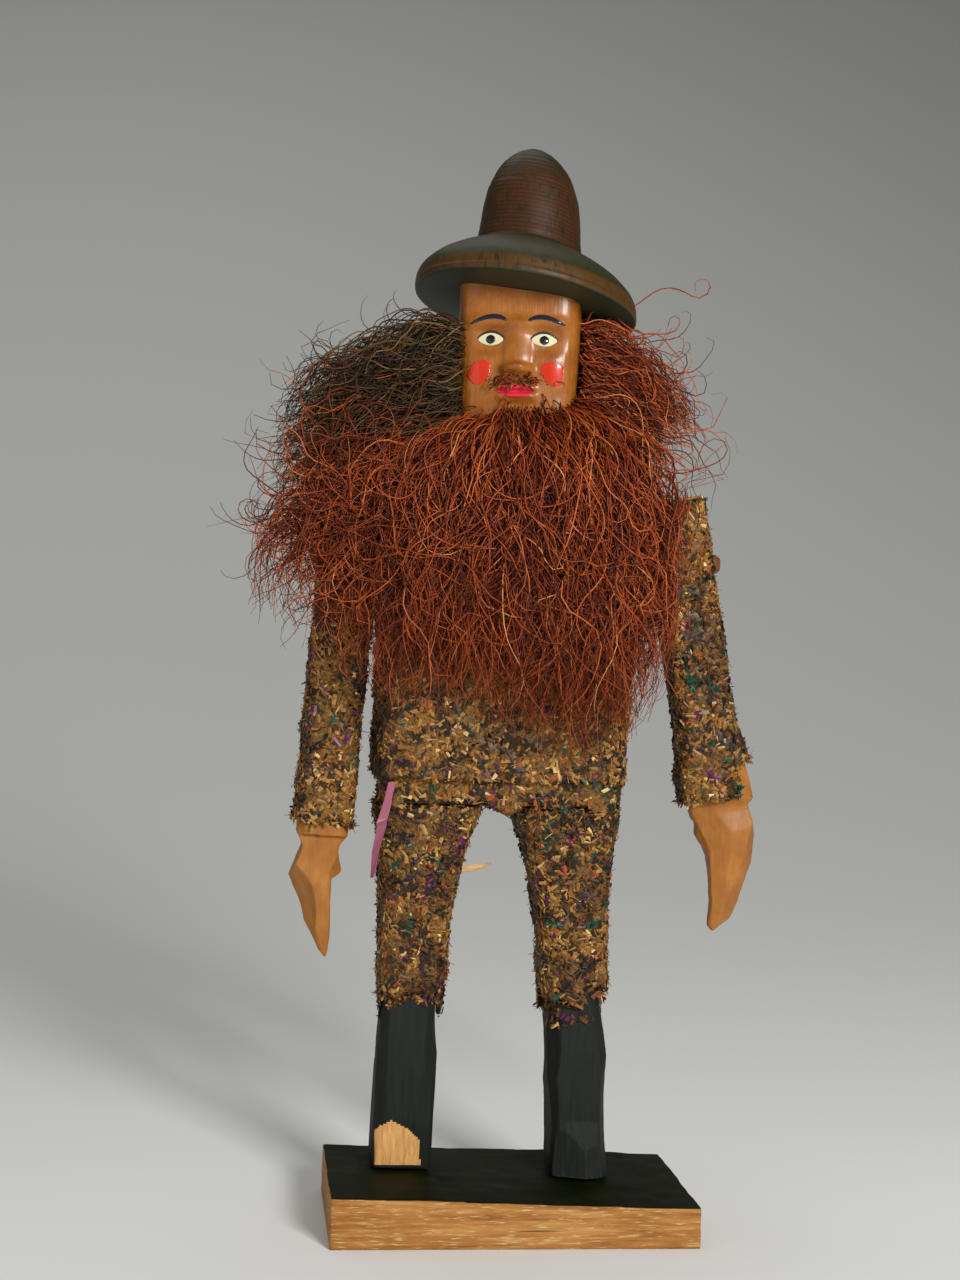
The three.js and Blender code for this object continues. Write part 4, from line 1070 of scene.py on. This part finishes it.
# The beard's lower edge: distance across and height.
BEARD_HEM = [(-41, 85), (-36.6, 81), (-31.3, 77.5), (-26.4, 73.5), (-21.5, 70), (-14.8, 71),
             (-7.9, 71), (-1.6, 68), (4.8, 65), (10.4, 65), (13.1, 66.5), (15.8, 70), (18.5, 75),
             (20.3, 82), (21.4, 93)]
JAW = {"half_width": 8.4, "front": -5.8, "back": 5.5, "height": 110.8}
BEARD_TOP_Z = 107                # a short fibre's tip lies between this height and the hem
BEARD_HALF_SPREAD = 26
BEARD_LEFT_EDGE = 18.6
SHOULDER_TOP_Z = 104
FIBRE_STEPS = 32
HAIR_STEPS = 22
FIBRE_RADIUS = 0.102


def beard_paths(rng, count, x_low, x_high, depth, reach=(0.4, 1.0)):
    """Fibres from the jaw, out over the chest and down to the beard's ragged hem."""
    head = middle_of("head_block")
    chest = box_of("torso_coat")[0][1]
    x = rng.uniform(x_low, x_high, count)
    hem = np.interp(x, *np.array(BEARD_HEM).T) + rng.normal(0, 1.6, count)
    side = np.clip((x - head[0]) / BEARD_HALF_SPREAD, -1.4, 1.1)
    rise = np.where(side > 0, 4.0 * np.abs(side) ** 1.5, -1.6 * np.abs(side))
    root = np.stack([
        head[0] + JAW["half_width"] * np.sin(side * 1.25) + rng.normal(0, 1.0, count),
        JAW["front"] + JAW["back"] * np.abs(side) ** 1.6 + rng.normal(0, 0.6, count),
        JAW["height"] + rise + rng.normal(0, 1.1, count),
    ], axis=1)
    root[:, 1] = np.minimum(root[:, 1], 1.5)
    layer = rng.uniform(0, 1, count) ** 0.7
    bulge = depth * layer * np.clip(1.15 - 0.35 * np.abs(side), 0.5, 1)
    part = rng.uniform(*reach, count) ** 0.8
    tip_z = BEARD_TOP_Z + (hem - BEARD_TOP_Z) * part
    outward = np.clip(np.abs(side) - 0.55, 0, 1)
    lifted = np.where(side > 0, 4 * outward, -3 * outward)
    front = chest - 1.2
    tip = np.stack([x, front + 4.5 * outward - 0.55 * bulge, tip_z], axis=1)
    lean = root + np.stack([0.34 * (x - root[:, 0]), -0.75 * bulge - 1.5, -1.5 * rng.random(count)], axis=1)
    fall = np.stack([
        root[:, 0] + 0.95 * (x - root[:, 0]),
        front + 3 * outward - 1.1 * bulge,
        root[:, 2] + (0.36 + 0.12 * rng.random(count)) * (tip_z - root[:, 2]) + lifted,
    ], axis=1)
    return bezier(root, lean, fall, tip, FIBRE_STEPS)


def squeezed(paths):
    """Draws fibres in where they would hide the left arm below its shoulder."""
    over = np.maximum(paths[..., 0] - BEARD_LEFT_EDGE, 0) * (paths[..., 2] < SHOULDER_TOP_Z)
    paths[..., 0] -= 0.75 * over
    return paths


def keep_off(paths, node, margin=0.25):
    """Pushes fibres that dip into a node's box out through its front."""
    low, high = box_of(node)
    inside = np.all((paths > low - margin) & (paths < high + margin), axis=2)
    paths[..., 1] = np.where(inside, low[1] - margin, paths[..., 1])
    return paths


# Name, how far the layer bulges forward, the share of hooked fibres and how far they sway.
BEARD_LAYERS = (
    ("beard_inner", 5.0, 0.2, (0.25, 0.7)),
    ("beard_middle", 8.5, 0.4, (0.3, 0.8)),
    ("beard_outer", 10.5, 0.55, (0.3, 0.9)),
)
BEARD_LAYER_COUNT = 1050


def add_beard():
    rng = np.random.default_rng(101)
    low, high = box_of("beard")
    for name, depth, hooked, sway in BEARD_LAYERS:
        paths = beard_paths(rng, BEARD_LAYER_COUNT, low[0] + 0.3, high[0] - 0.3, depth)
        paths = wiry(paths, rng, sway=sway, wave=(15, 36), hooked=hooked, hook=(2, 6.5), pull=0.75)
        paths = keep_off(squeezed(paths), "torso_coat", 0.6)
        replaced = ("beard",) if name == "beard_inner" else ()
        add_fibres(name, paths, FIBRE_RADIUS, BEARD_LOOK, rng, replaced)
    strays = beard_paths(rng, 120, low[0], high[0], depth=12, reach=(0.75, 1.18))
    strays = wiry(strays, rng, sway=(0.5, 1.2), wave=(14, 34), hooked=0.85, hook=(3, 8))
    strays = keep_off(strays, "torso_coat", 0.6)
    add_fibres("beard_strays", strays, FIBRE_RADIUS, BEARD_LOOK, rng)


def add_beard_lock(word, x_range, counts, seed):
    """Beard that lies over an arm: it leaves the jaw and ends over the sleeve."""
    rng = np.random.default_rng(seed)
    full, loose = counts
    paths = beard_paths(rng, full, *x_range, depth=8, reach=(0.5, 1.0))
    paths = wiry(paths, rng, sway=(0.35, 1.0), wave=(14, 32), hooked=0.6, hook=(2, 7), pull=0.7)
    strays = beard_paths(rng, loose, *x_range, depth=9, reach=(0.75, 1.15))
    strays = wiry(strays, rng, sway=(0.6, 1.2), wave=(12, 30), hooked=0.9, hook=(3, 9))
    paths = squeezed(np.concatenate([paths, strays]))
    paths = keep_off(paths, f"{word}_sleeve_coat", 0.8)
    paths = keep_off(paths, "torso_coat", 0.6)
    lock = add_fibres(f"{word}_beard_lock_fibres", paths, FIBRE_RADIUS, BEARD_LOOK, rng,
                      (f"{word}_beard_lock",), None)
    blend_to_arm(lock)


def blend_to_arm(piece):
    """Bakes the piece's placement into its mesh."""
    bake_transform(piece)


def tuft_paths(rng, count, side, root, reach, droop, spread, low_short):
    """Fibres that leave the head sideways and droop more and more towards their tips."""
    (x, y_low, y_high), (z_low, z_high) = root
    start = np.stack([np.full(count, x) + rng.normal(0, 0.5, count), rng.uniform(y_low, y_high, count),
                      rng.uniform(z_low, z_high, count)], axis=1)
    high_up = np.clip((start[:, 2] - z_low) / (z_high - z_low), 0, 1)
    longest = reach[1] * (1 - low_short * (1 - high_up))
    length = (reach[0] + (longest - reach[0]) * rng.random(count) ** 0.75)[:, None]
    t = np.linspace(0, 1, HAIR_STEPS)[None, :]
    out = length * t
    drop = droop[0] * out + droop[1] * out ** 2
    fan = rng.normal(0, spread, (2, count, 1)) * t * length / reach[1]
    places = np.stack([side * out, fan[0] + 0 * t, fan[1] - drop], axis=2)
    return start[:, None, :] + places


# The tufts beside the head: number of fibres, the side they leave by, their roots, reach,
# droop, spread and the share by which low ones are shorter, then how wiry bends them.
TUFTS = (
    ("hair_right_fibres", 0.108, DARK_LOOK, ("hair_right",),
     (1300, RIGHT, ((-10.7, -4.7, 8), (111, 125)), (5, 25.8), (0.18, 0.0145), 2.6, 0.0),
     ((0.35, 0.95), (8, 20), 0.3, (1, 4))),
    ("hair_right_red_strays", FIBRE_RADIUS, BEARD_LOOK, (),
     (70, RIGHT, ((-10.4, -3, 6), (112, 122)), (18, 28), (0.2, 0.016), 5, 0.0),
     ((0.4, 1.0), (10, 24), 0.6, (2, 5))),
    ("hair_left_fibres", FIBRE_RADIUS, BEARD_LOOK, ("hair_left",),
     (1150, LEFT, ((6.9, -4.5, 8.5), (111, 125.6)), (3, 19.5), (0.2, 0.028), 2.2, 0.45),
     ((0.3, 0.85), (7, 18), 0.35, (1.5, 4.5))),
    ("hair_left_strays", FIBRE_RADIUS, BEARD_LOOK, (),
     (60, LEFT, ((6.9, -4, 6), (112, 124)), (14, 22), (0.1, 0.025), 5, 0.0),
     ((0.5, 1.1), (10, 24), 0.8, (2.5, 6))),
)


def add_hair():
    rng = np.random.default_rng(202)
    for name, radius, look, replaced, tuft, bends in TUFTS:
        paths = wiry(tuft_paths(rng, *tuft), rng, *bends)
        add_fibres(name, paths, radius, look, rng, replaced)
    back = back_hair_paths(rng, 1500)
    back = wiry(back, rng, sway=(0.25, 0.7), wave=(9, 22), hooked=0.25, hook=(1.5, 4))
    add_fibres("hair_back_fibres", back, FIBRE_RADIUS, BACK_LOOK, rng, ("hair_back",))


def back_hair_paths(rng, count):
    """Fibres that fall from the back of the head over the shoulders."""
    low, high = box_of("hair_back")
    root = np.stack([rng.uniform(low[0] - 1.4, high[0] + 0.6, count), rng.uniform(7.2, 10.2, count),
                     rng.uniform(110, 126, count)], axis=1)
    spread = 1.3 * (root[:, 0] - AXIS_X) + rng.normal(0, 2.6, count)
    tip = np.stack([AXIS_X + spread, rng.uniform(13, high[1] + 1, count),
                    low[2] + rng.uniform(0, 0.55, count) * (root[:, 2] - low[2])], axis=1)
    first = root + [0, 3.2, 1.0]
    second = np.stack([tip[:, 0], tip[:, 1] + 1.2, 0.5 * (tip[:, 2] + root[:, 2])], axis=1)
    return bezier(root, first, second, tip, HAIR_STEPS)


# ---- Everything ----------------------------------------------------------------------

def finish_hidden_nodes():
    """Materials for the CAD pieces that stay as they are."""
    finishes = {"torso_block": BARE_WOOD, "neck_dowel": BARE_WOOD, "hat_dowel": BARE_WOOD}
    for _, word in SIDES:
        finishes[f"{word}_hip_dowel"] = BARE_WOOD
        finishes[f"{word}_foot_nail"] = NAIL_STEEL
        finishes[f"{word}_shoulder_peg"] = PEG_WOOD
    for node, material in finishes.items():
        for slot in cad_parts[node].material_slots:
            slot.material = material


add_camera()
add_floor()
add_lights()
finish_hidden_nodes()
add_board()
add_hat()
add_head()
add_face_paint()
add_moustache()
for side, word in SIDES:
    add_leg(side, word)
    add_arm(side, word)
    add_coat(f"{word}_leg_coat", "figure", 41 + side, LIMB_STRAW, ragged=3.2)
    add_spill(f"{word}_leg", "figure", 71 + side, top=31.5, run=5.5)
    add_coat(f"{word}_sleeve_coat", f"{word}_arm_swing", 51 + side, LIMB_STRAW, ragged=0.8, sink=0.4)
add_coat("torso_coat", "figure", 61, BODY_STRAW, ragged=1.4)
add_loose_bits()
add_beard()
add_beard_lock("right", (-40, -20.6), (680, 70), 301)
add_beard_lock("left", (16.9, 19.4), (190, 16), 302)
add_hair()
